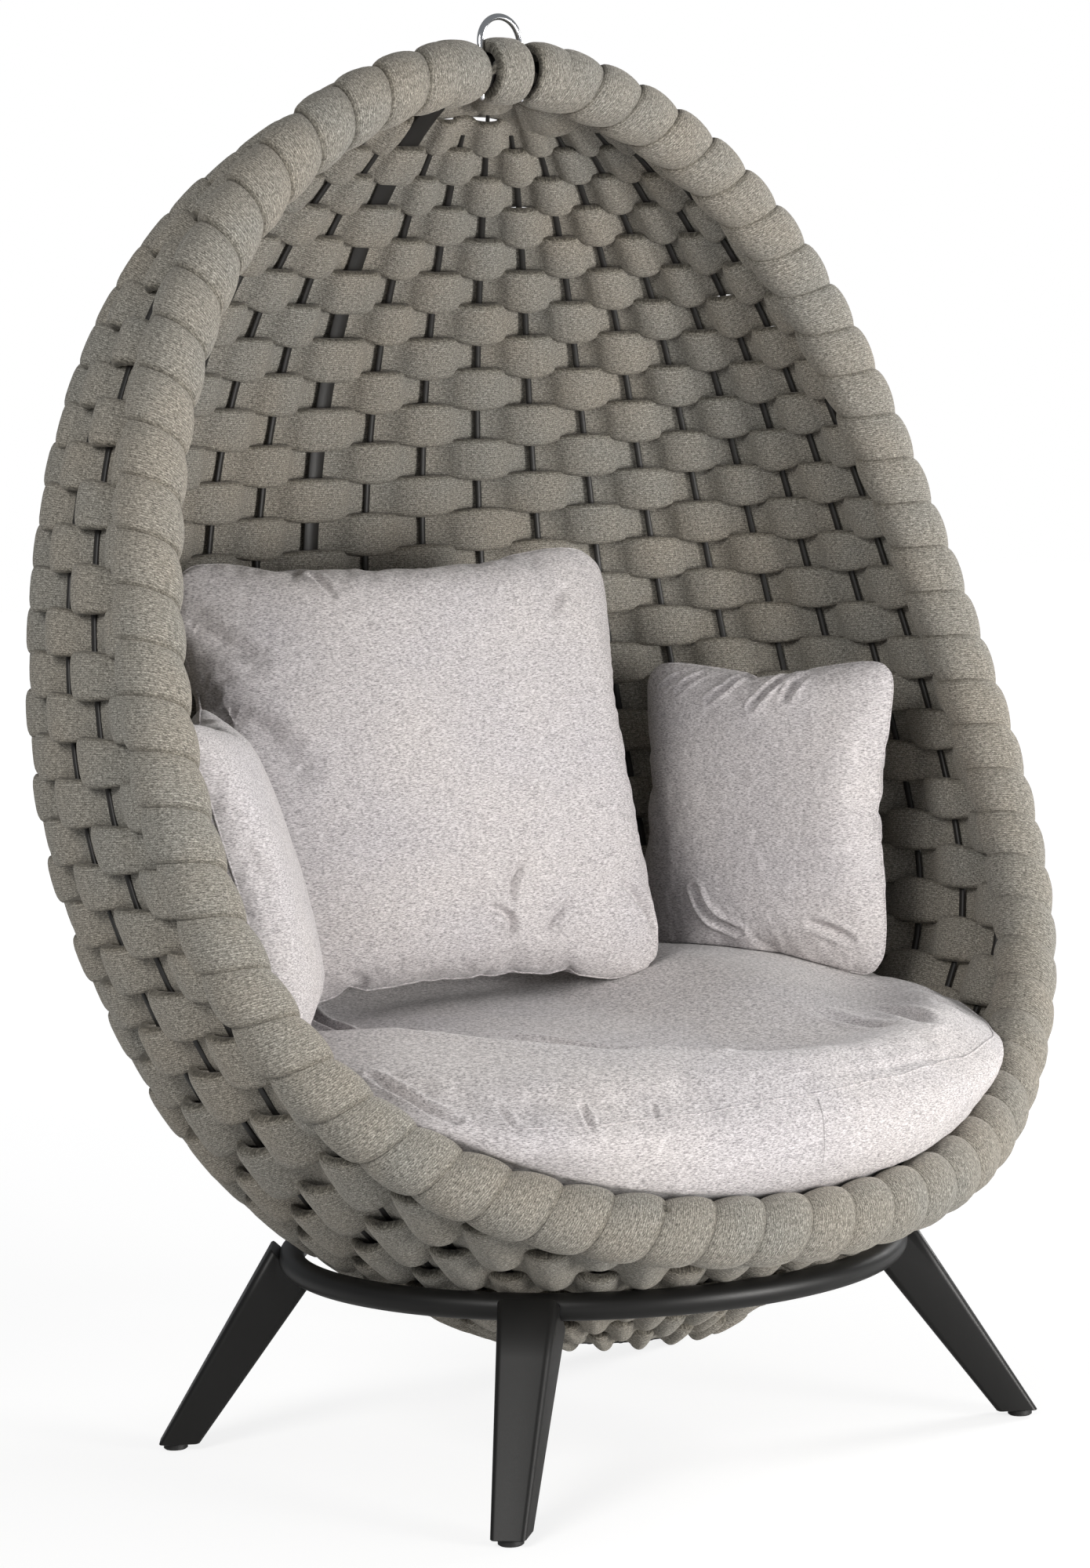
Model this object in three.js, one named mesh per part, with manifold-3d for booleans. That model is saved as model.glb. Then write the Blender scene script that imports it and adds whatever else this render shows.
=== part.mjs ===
// Hanging egg chair: a pod of padded strap woven over thin metal ribs, with a wrapped rim round its
// mouth, a chrome hanging loop on top, loose cushions inside, and a four-legged stand whose ring
// carries the pod. Millimetres, +Z up, the mouth faces -Y, the floor is z = 0.
import * as THREE from 'three';
import { mergeVertices } from 'three/addons/utils/BufferGeometryUtils.js';
import Module from 'manifold-3d';

const wasm = await Module();
wasm.setup();

// ---------------------------------------------------------------- driving dimensions

// Pod shell: the surface midway through the weave. Its level sections are ellipses. "Level" runs
// from 0 at the bottom pole to 1 at the crown, and an angle runs from the front (-Y) towards +X.
const POD_HEIGHT = 1546;
const POD_HALF_WIDTH = 651;
const POD_TAPER = [-0.1137, 0.1172, 0.2297, -0.2571]; // egg shape: departures from an ellipse
const DEPTH_SHARE = [0.759, -0.262, -0.4119, 0.435]; // half depth over half width, by height
const SWEEP_SHARE = [0.0062, 0.3324, -0.2774, -0.1275]; // how far back its middle is, over POD_HEIGHT
const WAIST_LEVEL = 0.4; // the level from which DEPTH_SHARE and SWEEP_SHARE are counted
const BOWL_LEVELS = [0.03, 0.374]; // sections are round up to the first, wholly oval at the second
const BELLY_DROP = 13.4; // the bottom hangs this much lower at its pole than the egg shape does
const BELLY_LEVEL = 0.1135; // and its extra depth ends at this level
const POLE_FORWARD = 25; // the bottom pole stands this far in front of the ring's middle
const POLE_LEVEL = 0.05; // and the sections are back over it from this level on

// Mouth: how far back the rim stands, over POD_HEIGHT and by the share of it below the crown, and the
// lip, which carries its lowest stretch further forward.
const MOUTH_SHARE = [0.0633, -0.0327, -0.2664, -0.0546];
const MOUTH_LIP = 99;
const MOUTH_LIP_DROP = 0.878;
const MOUTH_LIP_SHARPNESS = 24;

// Weave
const RIB_COUNT = 44;
const FIRST_COURSE_DROP = 71.5; // from the crown down the spine to the first course's middle
const COURSE_COUNT = 38;
const COURSE_GAP = 1.6; // between neighbouring straps
const STRAP_THICKNESS = 10;
const RIB_WIDTH = 8;
const RIB_THICKNESS = 4;
const RIB_MAX_SHARE = 0.24; // a rib is at most this share of the space to the next rib
const CROWN_RIB_STEP = 3; // only every third rib, counted from the spine, goes on to the crown
const CROWN_COURSES = 2; // the courses above the tops of the other ribs
const SPINE_WIDTH = 25;
const STRAP_TO_RIB = 5.5; // between a rib and a strap that passes over it
const RIB_FLATNESS = 3.8; // the most that a straight stretch of rib cuts a curve
const RIB_ROOMY_SPACE = 60; // and it cuts less where ribs stand closer than this

// Hub plate at the bottom, where the ribs are welded together
const HUB_RADIUS = 136;
const HUB_THICKNESS = 6;
const HUB_TO_WEAVE = 13; // from its edge to the lowest course, along the spine
const RIB_ROOT = 5; // how far in from its edge the ribs start

// Rim: a bent tube inside a wrapping of padded strap
const HOOP_RADIUS = 22;
const WRAP_RADIUS = 38;
const WRAP_DIP = 3; // how much lower a turn lies where the next one overlaps it
const WRAP_PITCH = 64;
const TURN_LAP = 0.95; // the share of a turn after which the next one's edge covers it
const BORE_PLAY = 1; // the wrapping's bore is this much wider than the rim tube
const TOUCH = 0.4; // the gap left between pieces that touch

// Hanging loop
const LOOP_ROD_RADIUS = 4;
const LOOP_HALF_SPAN = 31;
const LOOP_RISE = 66; // from the rim tube's middle to the middle of the rod at the top of the bend
const LOOP_SLOT = 15; // the gap in the wrapping at each leg of the loop
const NUT_RADIUS = 5.2;
const NUT_HEIGHT = 16;
const NUT_BODY_HEIGHT = 8; // below it the nut is domed

// Stand
const RING_RADIUS = 369.5;
const RING_TUBE_RADIUS = 16;
const RING_HEIGHT = 234; // floor to the middle of the ring's tube
const LEG_ANGLES = [-51.6, 51.6, -128.4, 128.4]; // from the front, in degrees
const LEG_TOP_INNER = [347, 202]; // [radius, height] of the leg's inner upper edge
const LEG_TOP_OUTER = [394, 249]; // and of its outer upper edge
const LEG_FOOT_INNER = 491; // radius of the leg's inner edge at the glide
const LEG_FOOT_OUTER = 541;
const LEG_TOP_WIDTH = 71; // across the leg, along the ring
const LEG_FOOT_WIDTH = 41;
const LEG_CORNER = 9;
const GLIDE_RADIUS = 15;
const GLIDE_HEIGHT = 8;
const GLIDE_SETOUT = 5; // how far the glide stands outward of the leg's middle

// Seat cushion: a thick boxed one that fills the bowl of the pod. Its upper seam rises to the back.
const SEAT_HALF_WIDTH = 590;
const SEAT_HALF_DEPTH = 420;
const SEAT_BOTTOM = 235; // above the floor
const SEAT_SEAM_FRONT = 450;
const SEAT_SEAM_BACK = 548;
const SEAT_CROWN = 44; // how far the top rises above the seam
const SEAT_SQUARENESS = 2.3; // 2 is an ellipse, more is squarer
const SEAT_SIDES = 36;
const SEAT_WALL_GAP = 6;
const SEAT_RIM_GAP = 8;

// Loose pillows. Size [width, height, thickness] and the place of the middle, from the ring's middle,
// are shares of POD_HALF_WIDTH, so that the three keep their places by the pod's wall. "lift" is from
// the seat cushion's seam to the lower edge, and "facing" is the way one looks, in degrees from the
// front towards +X.
const BACK_PILLOW = { size: [0.94, 0.81, 0.25], middle: [-0.075, 0.38], lift: 24, facing: -11, lean: 14 };
const RIGHT_PILLOW = { size: [0.56, 0.565, 0.2], middle: [0.675, 0.21], lift: 10, facing: -70, lean: 8 };
const LEFT_PILLOW = { size: [0.56, 0.565, 0.2], middle: [-0.685, 0.13], lift: 10, facing: 52, lean: 15 };
const PILLOW_DRAW_IN = 0.05; // how far each side pulls in between its corners
const PILLOW_SEAM = 5; // thickness left along the seam

// ---------------------------------------------------------------- materials

const finish = (color, roughness, metalness = 0) =>
  new THREE.MeshStandardMaterial({ color, roughness, metalness });
const STRAP_FABRIC = finish(0x7d766b, 0.9);
const CUSHION_FABRIC = finish(0xb7b1af, 0.95);
const RIB_PAINT = finish(0x1d1c1b, 0.5, 0.2);
const STAND_PAINT = finish(0x333231, 0.45, 0.3);
const GLIDE_PLASTIC = finish(0x0c0c0c, 0.6);
const CHROME = finish(0xd5d7da, 0.12, 1);

// ---------------------------------------------------------------- small geometry helpers

const vec = (x, y, z) => new THREE.Vector3(x, y, z);
const radians = THREE.MathUtils.degToRad;
const polynomial = (terms, x) => terms.reduceRight((sum, term) => sum * x + term, 0);
const steps = (count, make) => Array.from({ length: count }, (_, i) => make(i));

function toGeometry(points, index) {
  const geometry = new THREE.BufferGeometry().setFromPoints(points);
  geometry.setIndex(index);
  return faceOutwards(geometry);
}

// Turns every face round when the body's signed volume is negative.
function faceOutwards(geometry) {
  const position = geometry.attributes.position;
  const index = geometry.index.array;
  const [a, b, c] = [vec(), vec(), vec()];
  let volume = 0;
  for (let i = 0; i < index.length; i += 3) {
    a.fromBufferAttribute(position, index[i]);
    b.fromBufferAttribute(position, index[i + 1]);
    c.fromBufferAttribute(position, index[i + 2]);
    volume += a.dot(b.cross(c));
  }
  if (volume < 0) {
    for (let i = 0; i < index.length; i += 3) {
      [index[i + 1], index[i + 2]] = [index[i + 2], index[i + 1]];
    }
  }
  return geometry;
}

// A body through rings of the same number of points. An open one gets a cap at each end, and a
// looped one runs from its last ring back to its first.
function loft(rings, looped = false) {
  const sides = rings[0].length;
  const index = [];
  const spans = looped ? rings.length : rings.length - 1;
  for (let ring = 0; ring < spans; ring++) {
    const here = ring * sides;
    const next = ((ring + 1) % rings.length) * sides;
    for (let side = 0; side < sides; side++) {
      const other = (side + 1) % sides;
      index.push(here + side, here + other, next + other);
      index.push(here + side, next + other, next + side);
    }
  }
  if (!looped) {
    const end = (rings.length - 1) * sides;
    for (let side = 1; side < sides - 1; side++) {
      index.push(0, side + 1, side);
      index.push(end, end + side, end + side + 1);
    }
  }
  return toGeometry(rings.flat(), index);
}

// A ring of points round a centre, in the plane of two directions.
const circle = (centre, across, up, radius, sides, start = 0) =>
  steps(sides, (i) => {
    const angle = start + (i * 2 * Math.PI) / sides;
    return centre
      .clone()
      .addScaledVector(across, radius * Math.cos(angle))
      .addScaledVector(up, radius * Math.sin(angle));
  });

function toManifold(geometry) {
  const bare = geometry.clone();
  bare.deleteAttribute('normal');
  bare.deleteAttribute('uv');
  const merged = mergeVertices(bare, 1e-4);
  return new wasm.Manifold(
    new wasm.Mesh({
      numProp: 3,
      vertProperties: Float32Array.from(merged.attributes.position.array),
      triVerts: Uint32Array.from(merged.index.array),
    })
  );
}

function fromManifold(solid) {
  const mesh = solid.getMesh();
  const geometry = new THREE.BufferGeometry();
  geometry.setAttribute('position', new THREE.BufferAttribute(mesh.vertProperties, 3));
  geometry.setIndex(new THREE.BufferAttribute(mesh.triVerts, 1));
  return geometry;
}

// ---------------------------------------------------------------- pod shell

// Half width, half depth and middle of the pod's level section.
function podSection(level) {
  const tilt = 2 * level - 1;
  const egg = 1 + tilt * polynomial(POD_TAPER, tilt);
  const halfWidth = POD_HALF_WIDTH * 2 * Math.sqrt(Math.max(level * (1 - level), 0)) * egg;
  const oval = THREE.MathUtils.smoothstep(level, ...BOWL_LEVELS);
  const rise = level - WAIST_LEVEL;
  const depthShare = 1 + (polynomial(DEPTH_SHARE, rise) - 1) * oval;
  const forward = POLE_FORWARD * THREE.MathUtils.smoothstep(1 - level / POLE_LEVEL, 0, 1);
  const middleY = POD_HEIGHT * polynomial(SWEEP_SHARE, rise) * oval - forward;
  const belly = Math.max(1 - level / BELLY_LEVEL, 0);
  const height = POD_HEIGHT * level - BELLY_DROP * belly * belly;
  return { halfWidth, halfDepth: halfWidth * depthShare, middleY, height };
}

function podPoint(level, angle) {
  const { halfWidth, halfDepth, middleY, height } = podSection(level);
  return vec(halfWidth * Math.sin(angle), middleY - halfDepth * Math.cos(angle), height);
}

function podNormal(level, angle) {
  const step = 1e-4;
  const low = Math.max(level - step, 1e-7);
  const high = Math.min(level + step, 1 - 1e-7);
  const upwards = podPoint(high, angle).sub(podPoint(low, angle));
  const sideways = podPoint(level, angle + step).sub(podPoint(level, angle - step));
  return sideways.cross(upwards).normalize();
}

const podOffset = (level, angle, depth) =>
  podPoint(level, angle).addScaledVector(podNormal(level, angle), depth);

// The level that lies a given length down the spine from the crown.
const SPINE_SAMPLES = 4000;
const spineTable = [];
{
  let length = 0;
  let last = podPoint(1, Math.PI);
  for (let i = 0; i <= SPINE_SAMPLES; i++) {
    const level = 0.5 * (1 + Math.cos((Math.PI * i) / SPINE_SAMPLES));
    const point = podPoint(level, Math.PI);
    length += point.distanceTo(last);
    last = point;
    spineTable.push([length, level]);
  }
}
const SPINE_LENGTH = spineTable[SPINE_SAMPLES][0];

function levelDownSpine(drop) {
  const i = Math.max(1, spineTable.findIndex(([length]) => length >= drop));
  const [lengthA, levelA] = spineTable[i - 1];
  const [lengthB, levelB] = spineTable[i];
  return levelA + ((levelB - levelA) * (drop - lengthA)) / (lengthB - lengthA);
}

// The level near the bottom at which the pod has a given radius.
function levelAtRadius(radius) {
  let [low, high] = [0, WAIST_LEVEL];
  for (let i = 0; i < 50; i++) {
    const middle = (low + high) / 2;
    if (podSection(middle).halfWidth < radius) low = middle;
    else high = middle;
  }
  return high;
}
const HUB_LEVEL = levelAtRadius(HUB_RADIUS);

// The courses share the spine between the first course's place and the hub plate.
const spineToHub = spineTable.find(([, level]) => level <= HUB_LEVEL)[0];
const COURSE_PITCH = (spineToHub - HUB_TO_WEAVE - FIRST_COURSE_DROP) / (COURSE_COUNT - 0.5);
const courseEdge = (edge) => levelDownSpine(FIRST_COURSE_DROP + (edge - 0.5) * COURSE_PITCH);

// ---------------------------------------------------------------- rim line

function mouthY(level) {
  const drop = 1 - level;
  const lip = MOUTH_LIP * Math.pow(drop / MOUTH_LIP_DROP, MOUTH_LIP_SHARPNESS);
  return POD_HEIGHT * polynomial(MOUTH_SHARE, drop) - lip;
}

// How far the mouth lies in front of a section's middle, as a share of its half depth: the rim
// crosses the section where this is the cosine of the angle.
function rimCosine(level) {
  const { halfDepth, middleY } = podSection(level);
  return (middleY - mouthY(level)) / halfDepth;
}

// The level between two others at which the rim crosses the pod's front centre line.
function rimCrossing(outside, inside) {
  let [miss, hit] = [outside, inside];
  for (let i = 0; i < 50; i++) {
    const middle = (miss + hit) / 2;
    if (rimCosine(middle) < 1) hit = middle;
    else miss = middle;
  }
  return hit;
}

const RIM_TOP_LEVEL = rimCrossing(1 - 1e-6, 0.9);
const RIM_LOW_LEVEL = rimCrossing(0.02, 0.4);
const RIM_SAMPLES = 120;

// The rim's middle line, from the top down the +X side and back up the -X side.
const rimLine = new THREE.CatmullRomCurve3(
  steps(RIM_SAMPLES, (i) => {
    const turn = (2 * Math.PI * i) / RIM_SAMPLES;
    const half = (RIM_TOP_LEVEL - RIM_LOW_LEVEL) / 2;
    const level = (RIM_TOP_LEVEL + RIM_LOW_LEVEL) / 2 + half * Math.cos(turn);
    const cosine = Math.min(1, rimCosine(level));
    const side = Math.sqrt(1 - cosine * cosine) * Math.sign(Math.sin(turn));
    return vec(podSection(level).halfWidth * side, mouthY(level), podSection(level).height);
  }),
  true
);
rimLine.arcLengthDivisions = 1200;
const RIM_LENGTH = rimLine.getLength();
const rimPoints = rimLine.getSpacedPoints(480);

const distanceToRim = (point) => Math.min(...rimPoints.map((rimPoint) => rimPoint.distanceTo(point)));

// A ring of the rim's tube or wrapping, at a length along the rim from its top.
function rimRing(length, radius, sides) {
  const share = (((length / RIM_LENGTH) % 1) + 1) % 1;
  const centre = rimLine.getPointAt(share);
  const along = rimLine.getTangentAt(share);
  const across = vec(0, 1, 0).addScaledVector(along, -along.y).normalize();
  const up = along.clone().cross(across);
  return circle(centre, across, up, radius, sides, Math.PI / sides);
}

// ---------------------------------------------------------------- weave

const RIB_PITCH = (2 * Math.PI) / RIB_COUNT;
const WEAVE_DEPTH = RIB_THICKNESS / 2 + STRAP_TO_RIB + STRAP_THICKNESS / 2; // middle of a strap at a rib
const WEAVE_REACH = WEAVE_DEPTH + STRAP_THICKNESS / 2;
const RIM_CLEARANCE = WRAP_RADIUS + TOUCH;
const ribAngle = (rib) => Math.PI - rib * RIB_PITCH;

// The space between neighbouring ribs at a level, and the spine's width, which tapers to suit it.
const ribSpace = (level) => RIB_PITCH * Math.min(podSection(level).halfWidth, podSection(level).halfDepth);
const spineWidth = (level) =>
  Math.min(SPINE_WIDTH, ribSpace(level) * (level > 0.5 ? CROWN_RIB_STEP : 1));

// The smallest angle at which an edge of a strap is clear of the rim, or 0 if it is clear all round.
function edgeEnd(level) {
  const step = radians(0.5);
  for (let angle = 0; angle < Math.PI; angle += step) {
    const ahead = podPoint(level, angle).y < mouthY(level);
    if (!ahead) {
      const nearest = Math.min(
        ...[-1, 1].map((side) => distanceToRim(podOffset(level, angle, (side * STRAP_THICKNESS) / 2)))
      );
      if (nearest >= RIM_CLEARANCE) {
        const reach = distanceToRim(podOffset(level, angle, WEAVE_DEPTH));
        if (reach >= RIM_CLEARANCE && angle > 0) return angle;
        if (angle === 0) return wholeRoundIsClear(level) ? 0 : Math.PI;
      }
    }
  }
  return Math.PI;
}

// Whether an edge that is clear of the rim in front is clear of it all the way round.
function wholeRoundIsClear(level) {
  return steps(RIB_COUNT, (rib) => distanceToRim(podPoint(level, rib * RIB_PITCH))).every(
    (distance) => distance >= RIM_CLEARANCE
  );
}

// The four corners of a strap's section: upper inner, upper outer, lower outer, lower inner.
const strapSection = (upper, lower, depth) => [
  podOffset(upper.level, upper.angle, depth - STRAP_THICKNESS / 2),
  podOffset(upper.level, upper.angle, depth + STRAP_THICKNESS / 2),
  podOffset(lower.level, lower.angle, depth + STRAP_THICKNESS / 2),
  podOffset(lower.level, lower.angle, depth - STRAP_THICKNESS / 2),
];

// One course: a strap that passes outside one rib and inside the next. Courses whose way is crossed
// by the rim run from one side of it to the other, and the lower ones are closed loops.
function courseGeometry(course) {
  const top = FIRST_COURSE_DROP + (course - 0.5) * COURSE_PITCH;
  const upperLevel = levelDownSpine(top + COURSE_GAP / 2);
  const lowerLevel = levelDownSpine(top + COURSE_PITCH - COURSE_GAP / 2);
  const ribStep = course < CROWN_COURSES ? CROWN_RIB_STEP : 1;
  const depthAt = (rib) => ((rib + course) % 2 === 0 ? WEAVE_DEPTH : -WEAVE_DEPTH);
  const sectionAt = (angle, depth) =>
    strapSection({ level: upperLevel, angle }, { level: lowerLevel, angle }, depth);

  // The strap lies flat across the spine, and turns in the clear space beside it.
  const spineAngle = Math.max(
    ...[upperLevel, lowerLevel].map(
      (level) => (spineWidth(level) / 2 + STRAP_TO_RIB / 2) / podSection(level).halfWidth
    )
  );
  const ribRoom = (RIB_WIDTH / 2 + STRAP_TO_RIB / 2) / podSection(lowerLevel).halfWidth;
  const beside = ribStep * RIB_PITCH - Math.min(ribRoom, RIB_MAX_SHARE * RIB_PITCH);
  const besideSpine = [
    { angle: Math.PI + beside, depth: depthAt(ribStep) },
    { angle: Math.PI + spineAngle, depth: depthAt(0) },
    { angle: Math.PI - spineAngle, depth: depthAt(0) },
    { angle: Math.PI - beside, depth: depthAt(ribStep) },
  ].map(({ angle, depth }) => sectionAt(angle, depth));

  let upperEnd = edgeEnd(upperLevel);
  let lowerEnd = edgeEnd(lowerLevel);
  if (upperEnd === 0 && lowerEnd === 0) {
    const round = steps(RIB_COUNT - 1, (i) => sectionAt(ribAngle(i + 1), depthAt(i + 1)));
    return loft([...besideSpine, ...round], true);
  }

  const skew = 0.9 * RIB_PITCH; // the most that one edge may run on past the other
  upperEnd = Math.max(upperEnd, lowerEnd - skew);
  lowerEnd = Math.max(lowerEnd, upperEnd - skew);
  const setBack = 0.2 * RIB_PITCH;
  const half = [];
  for (let rib = ribStep; ribAngle(rib) > Math.min(upperEnd, lowerEnd) + setBack; rib += ribStep) {
    half.push({
      depth: depthAt(rib),
      upper: Math.max(ribAngle(rib), upperEnd + setBack),
      lower: Math.max(ribAngle(rib), lowerEnd + setBack),
    });
  }
  half.push({ depth: half.at(-1).depth, upper: upperEnd, lower: lowerEnd });
  const side = (mirror) =>
    half.map(({ depth, upper, lower }) =>
      strapSection(
        { level: upperLevel, angle: mirror ? 2 * Math.PI - upper : upper },
        { level: lowerLevel, angle: mirror ? 2 * Math.PI - lower : lower },
        depth
      )
    );
  return loft([...side(true).reverse(), ...besideSpine, ...side(false)]);
}

// ---------------------------------------------------------------- rib cage

// The levels a rib passes, from the hub up to its top, thinned to RIB_FLATNESS. They lie at the
// edges of courses, so that ribs and straps turn at the same places.
function ribLevels(rib, lowest) {
  const angle = ribAngle(rib);
  const reachesCrown = rib % CROWN_RIB_STEP === 0;
  const last = reachesCrown ? 0 : CROWN_COURSES;
  const fine = [{ level: lowest, point: podPoint(lowest, angle) }];
  for (let edge = COURSE_COUNT; edge >= last; edge--) {
    const level = courseEdge(edge);
    const point = podPoint(level, angle);
    if (point.y < mouthY(level) || distanceToRim(point) < RIM_CLEARANCE + RIB_THICKNESS) break;
    fine.push({ level, point });
  }
  const kept = [fine[0]];
  let start = 0;
  for (let end = 2; end < fine.length; end++) {
    const chord = new THREE.Line3(fine[start].point, fine[end].point);
    const strays = fine.slice(start + 1, end).some(({ level, point }) => {
      const allowed = RIB_FLATNESS * Math.min(1, ribSpace(level) / RIB_ROOMY_SPACE);
      return chord.closestPointToPoint(point, true, vec()).distanceTo(point) > allowed;
    });
    if (strays) {
      start = end - 1;
      kept.push(fine[start]);
    }
  }
  kept.push(fine.at(-1));
  return kept.map(({ level }) => level);
}

function ribGeometry(rib, lowest) {
  const angle = ribAngle(rib);
  const rings = ribLevels(rib, lowest).map((level) => {
    const width = rib === 0 ? spineWidth(level) : Math.min(RIB_WIDTH, RIB_MAX_SHARE * ribSpace(level));
    const centre = podPoint(level, angle);
    const out = podNormal(level, angle).multiplyScalar(RIB_THICKNESS / 2);
    const along = podPoint(level, angle + 1e-3).sub(podPoint(level, angle - 1e-3)).setLength(width / 2);
    return [
      centre.clone().add(along).add(out),
      centre.clone().sub(along).add(out),
      centre.clone().sub(along).sub(out),
      centre.clone().add(along).sub(out),
    ];
  });
  return loft(rings);
}

// All the ribs and the spine, welded to the hub plate at the bottom.
function ribCageGeometry() {
  const { middleY, height } = podSection(HUB_LEVEL);
  const plate = new THREE.CylinderGeometry(HUB_RADIUS, HUB_RADIUS, HUB_THICKNESS, RIB_COUNT)
    .rotateX(Math.PI / 2)
    .translate(0, middleY, height);
  let cage = toManifold(plate);
  const inPlate = levelAtRadius(HUB_RADIUS - RIB_ROOT);
  for (let rib = 1 - RIB_COUNT / 2; rib <= RIB_COUNT / 2; rib++) {
    cage = cage.add(toManifold(ribGeometry(rib, inPlate)));
  }
  return fromManifold(cage);
}

// ---------------------------------------------------------------- rim

const HOOP_SEGMENTS = 36;
const RIM_SIDES = 7;
const LOOP_LEG_HOLE = LOOP_ROD_RADIUS + TOUCH;

const hoopStation = (i, radius) => rimRing((i * RIM_LENGTH) / HOOP_SEGMENTS, radius, RIM_SIDES);

// A ring of the rim tube anywhere along it, on the straight line between its two stations.
function hoopRing(length, radius) {
  const place = (length / RIM_LENGTH) * HOOP_SEGMENTS;
  const before = hoopStation(Math.floor(place), radius);
  const after = hoopStation(Math.floor(place) + 1, radius);
  return before.map((point, i) => point.lerp(after[i], place - Math.floor(place)));
}

// Where each leg of the hanging loop passes through the rim tube, and where its nut bears.
const rimTop = rimLine.getPointAt(0);
const legPlaces = [-LOOP_HALF_SPAN, LOOP_HALF_SPAN].map((x) => vec(x, rimTop.y, rimTop.z));
const legDip = rimTop.z - rimLine.getPointAt((LOOP_HALF_SPAN + NUT_RADIUS) / RIM_LENGTH).z;
const NUT_SEAT = rimTop.z - HOOP_RADIUS * Math.cos(Math.PI / RIM_SIDES) - legDip + 1;

function rimHoopGeometry() {
  const rings = steps(HOOP_SEGMENTS, (i) => hoopStation(i, HOOP_RADIUS));
  let hoop = toManifold(loft(rings, true));
  for (const { x, y, z } of legPlaces) {
    const drill = new THREE.CylinderGeometry(LOOP_LEG_HOLE, LOOP_LEG_HOLE, 4 * HOOP_RADIUS, 8);
    hoop = hoop.subtract(toManifold(drill.rotateX(Math.PI / 2).translate(x, y, z)));
    const spotFace = new THREE.CylinderGeometry(NUT_RADIUS + 2, NUT_RADIUS + 2, HOOP_RADIUS, 8);
    spotFace.rotateX(Math.PI / 2).translate(x, y, NUT_SEAT - HOOP_RADIUS / 2);
    hoop = hoop.subtract(toManifold(spotFace));
  }
  return fromManifold(hoop);
}

// A sleeve of wrapped strap between two lengths along the rim. Each turn starts full and dips where
// the next one overlaps it.
function wrapGeometry(from, to, turns) {
  const turn = (to - from) / turns;
  const outer = steps(turns, (i) => [
    rimRing(from + i * turn, WRAP_RADIUS, RIM_SIDES),
    rimRing(from + (i + TURN_LAP) * turn, WRAP_RADIUS - WRAP_DIP, RIM_SIDES),
  ]).flat();
  const boreEnd = from + (turns - 1 + TURN_LAP) * turn;
  const station = RIM_LENGTH / HOOP_SEGMENTS;
  const bore = [hoopRing(boreEnd, HOOP_RADIUS + BORE_PLAY)];
  for (let i = Math.ceil(boreEnd / station) - 1; i * station > from + 1; i--) {
    bore.push(hoopRing(i * station, HOOP_RADIUS + BORE_PLAY));
  }
  bore.push(hoopRing(from, HOOP_RADIUS + BORE_PLAY));
  return loft([...bore.reverse(), ...outer.reverse()], true);
}

const topWrapEnd = LOOP_HALF_SPAN - LOOP_SLOT / 2;
const mainWrapStart = LOOP_HALF_SPAN + LOOP_SLOT / 2;

// ---------------------------------------------------------------- hanging loop

function hangingLoopGeometry() {
  const legFoot = NUT_SEAT - NUT_BODY_HEIGHT;
  const bendCentre = rimTop.z + LOOP_RISE - LOOP_HALF_SPAN;
  const path = [vec(-LOOP_HALF_SPAN, rimTop.y, legFoot)];
  const bends = 10;
  for (let i = 0; i <= bends; i++) {
    const angle = Math.PI * (1 - i / bends);
    const x = LOOP_HALF_SPAN * Math.cos(angle);
    path.push(vec(x, rimTop.y, bendCentre + LOOP_HALF_SPAN * Math.sin(angle)));
  }
  path.push(vec(LOOP_HALF_SPAN, rimTop.y, legFoot));
  const rings = path.map((centre, i) => {
    const before = path[Math.max(i - 1, 0)];
    const after = path[Math.min(i + 1, path.length - 1)];
    const along = after.clone().sub(before).normalize();
    const across = vec(0, 1, 0);
    return circle(centre, across, along.cross(across), LOOP_ROD_RADIUS, 8, Math.PI / 8);
  });
  return loft(rings);
}

// A dome nut, bored for the end of the loop's leg, that bears on the underside of the rim tube.
function domeNutGeometry({ x, y }) {
  const boreDepth = NUT_BODY_HEIGHT + TOUCH;
  const profile = [
    [0, -NUT_HEIGHT],
    [NUT_RADIUS * 0.62, -NUT_HEIGHT * 0.9],
    [NUT_RADIUS, -NUT_BODY_HEIGHT],
    [NUT_RADIUS, 0],
    [LOOP_LEG_HOLE, 0],
    [LOOP_LEG_HOLE, -boreDepth],
    [0, -boreDepth],
  ].map(([r, h]) => new THREE.Vector2(r, h));
  const nut = new THREE.LatheGeometry(profile, 8).rotateX(Math.PI / 2);
  return fromManifold(toManifold(nut.translate(x, y, NUT_SEAT - TOUCH)));
}

// ---------------------------------------------------------------- stand

// A leg's section: a rectangle with rounded corners from inner to outer edge, across the leg.
function legSection(inner, outer, width, corner) {
  const middle = inner.clone().add(outer).multiplyScalar(0.5);
  const outwards = outer.clone().sub(inner);
  const halfLength = outwards.length() / 2;
  outwards.normalize();
  const corners = [
    [1, 1],
    [-1, 1],
    [-1, -1],
    [1, -1],
  ];
  return corners.flatMap(([sideA, sideB], quarter) =>
    [0, 0.5, 1].map((share) => {
      const angle = (quarter + share) * (Math.PI / 2);
      const a = sideA * (halfLength - corner) + corner * Math.cos(angle);
      const b = sideB * (width / 2 - corner) + corner * Math.sin(angle);
      return middle.clone().addScaledVector(outwards, a).add(vec(0, b, 0));
    })
  );
}

const legTurn = (angle) => new THREE.Matrix4().makeRotationZ(radians(angle - 90));

// The stand's ring, or a cutter that is a little fatter.
const ringGeometry = (tubeRadius) =>
  new THREE.TorusGeometry(RING_RADIUS, tubeRadius, 8, 40).translate(0, 0, RING_HEIGHT);

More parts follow.
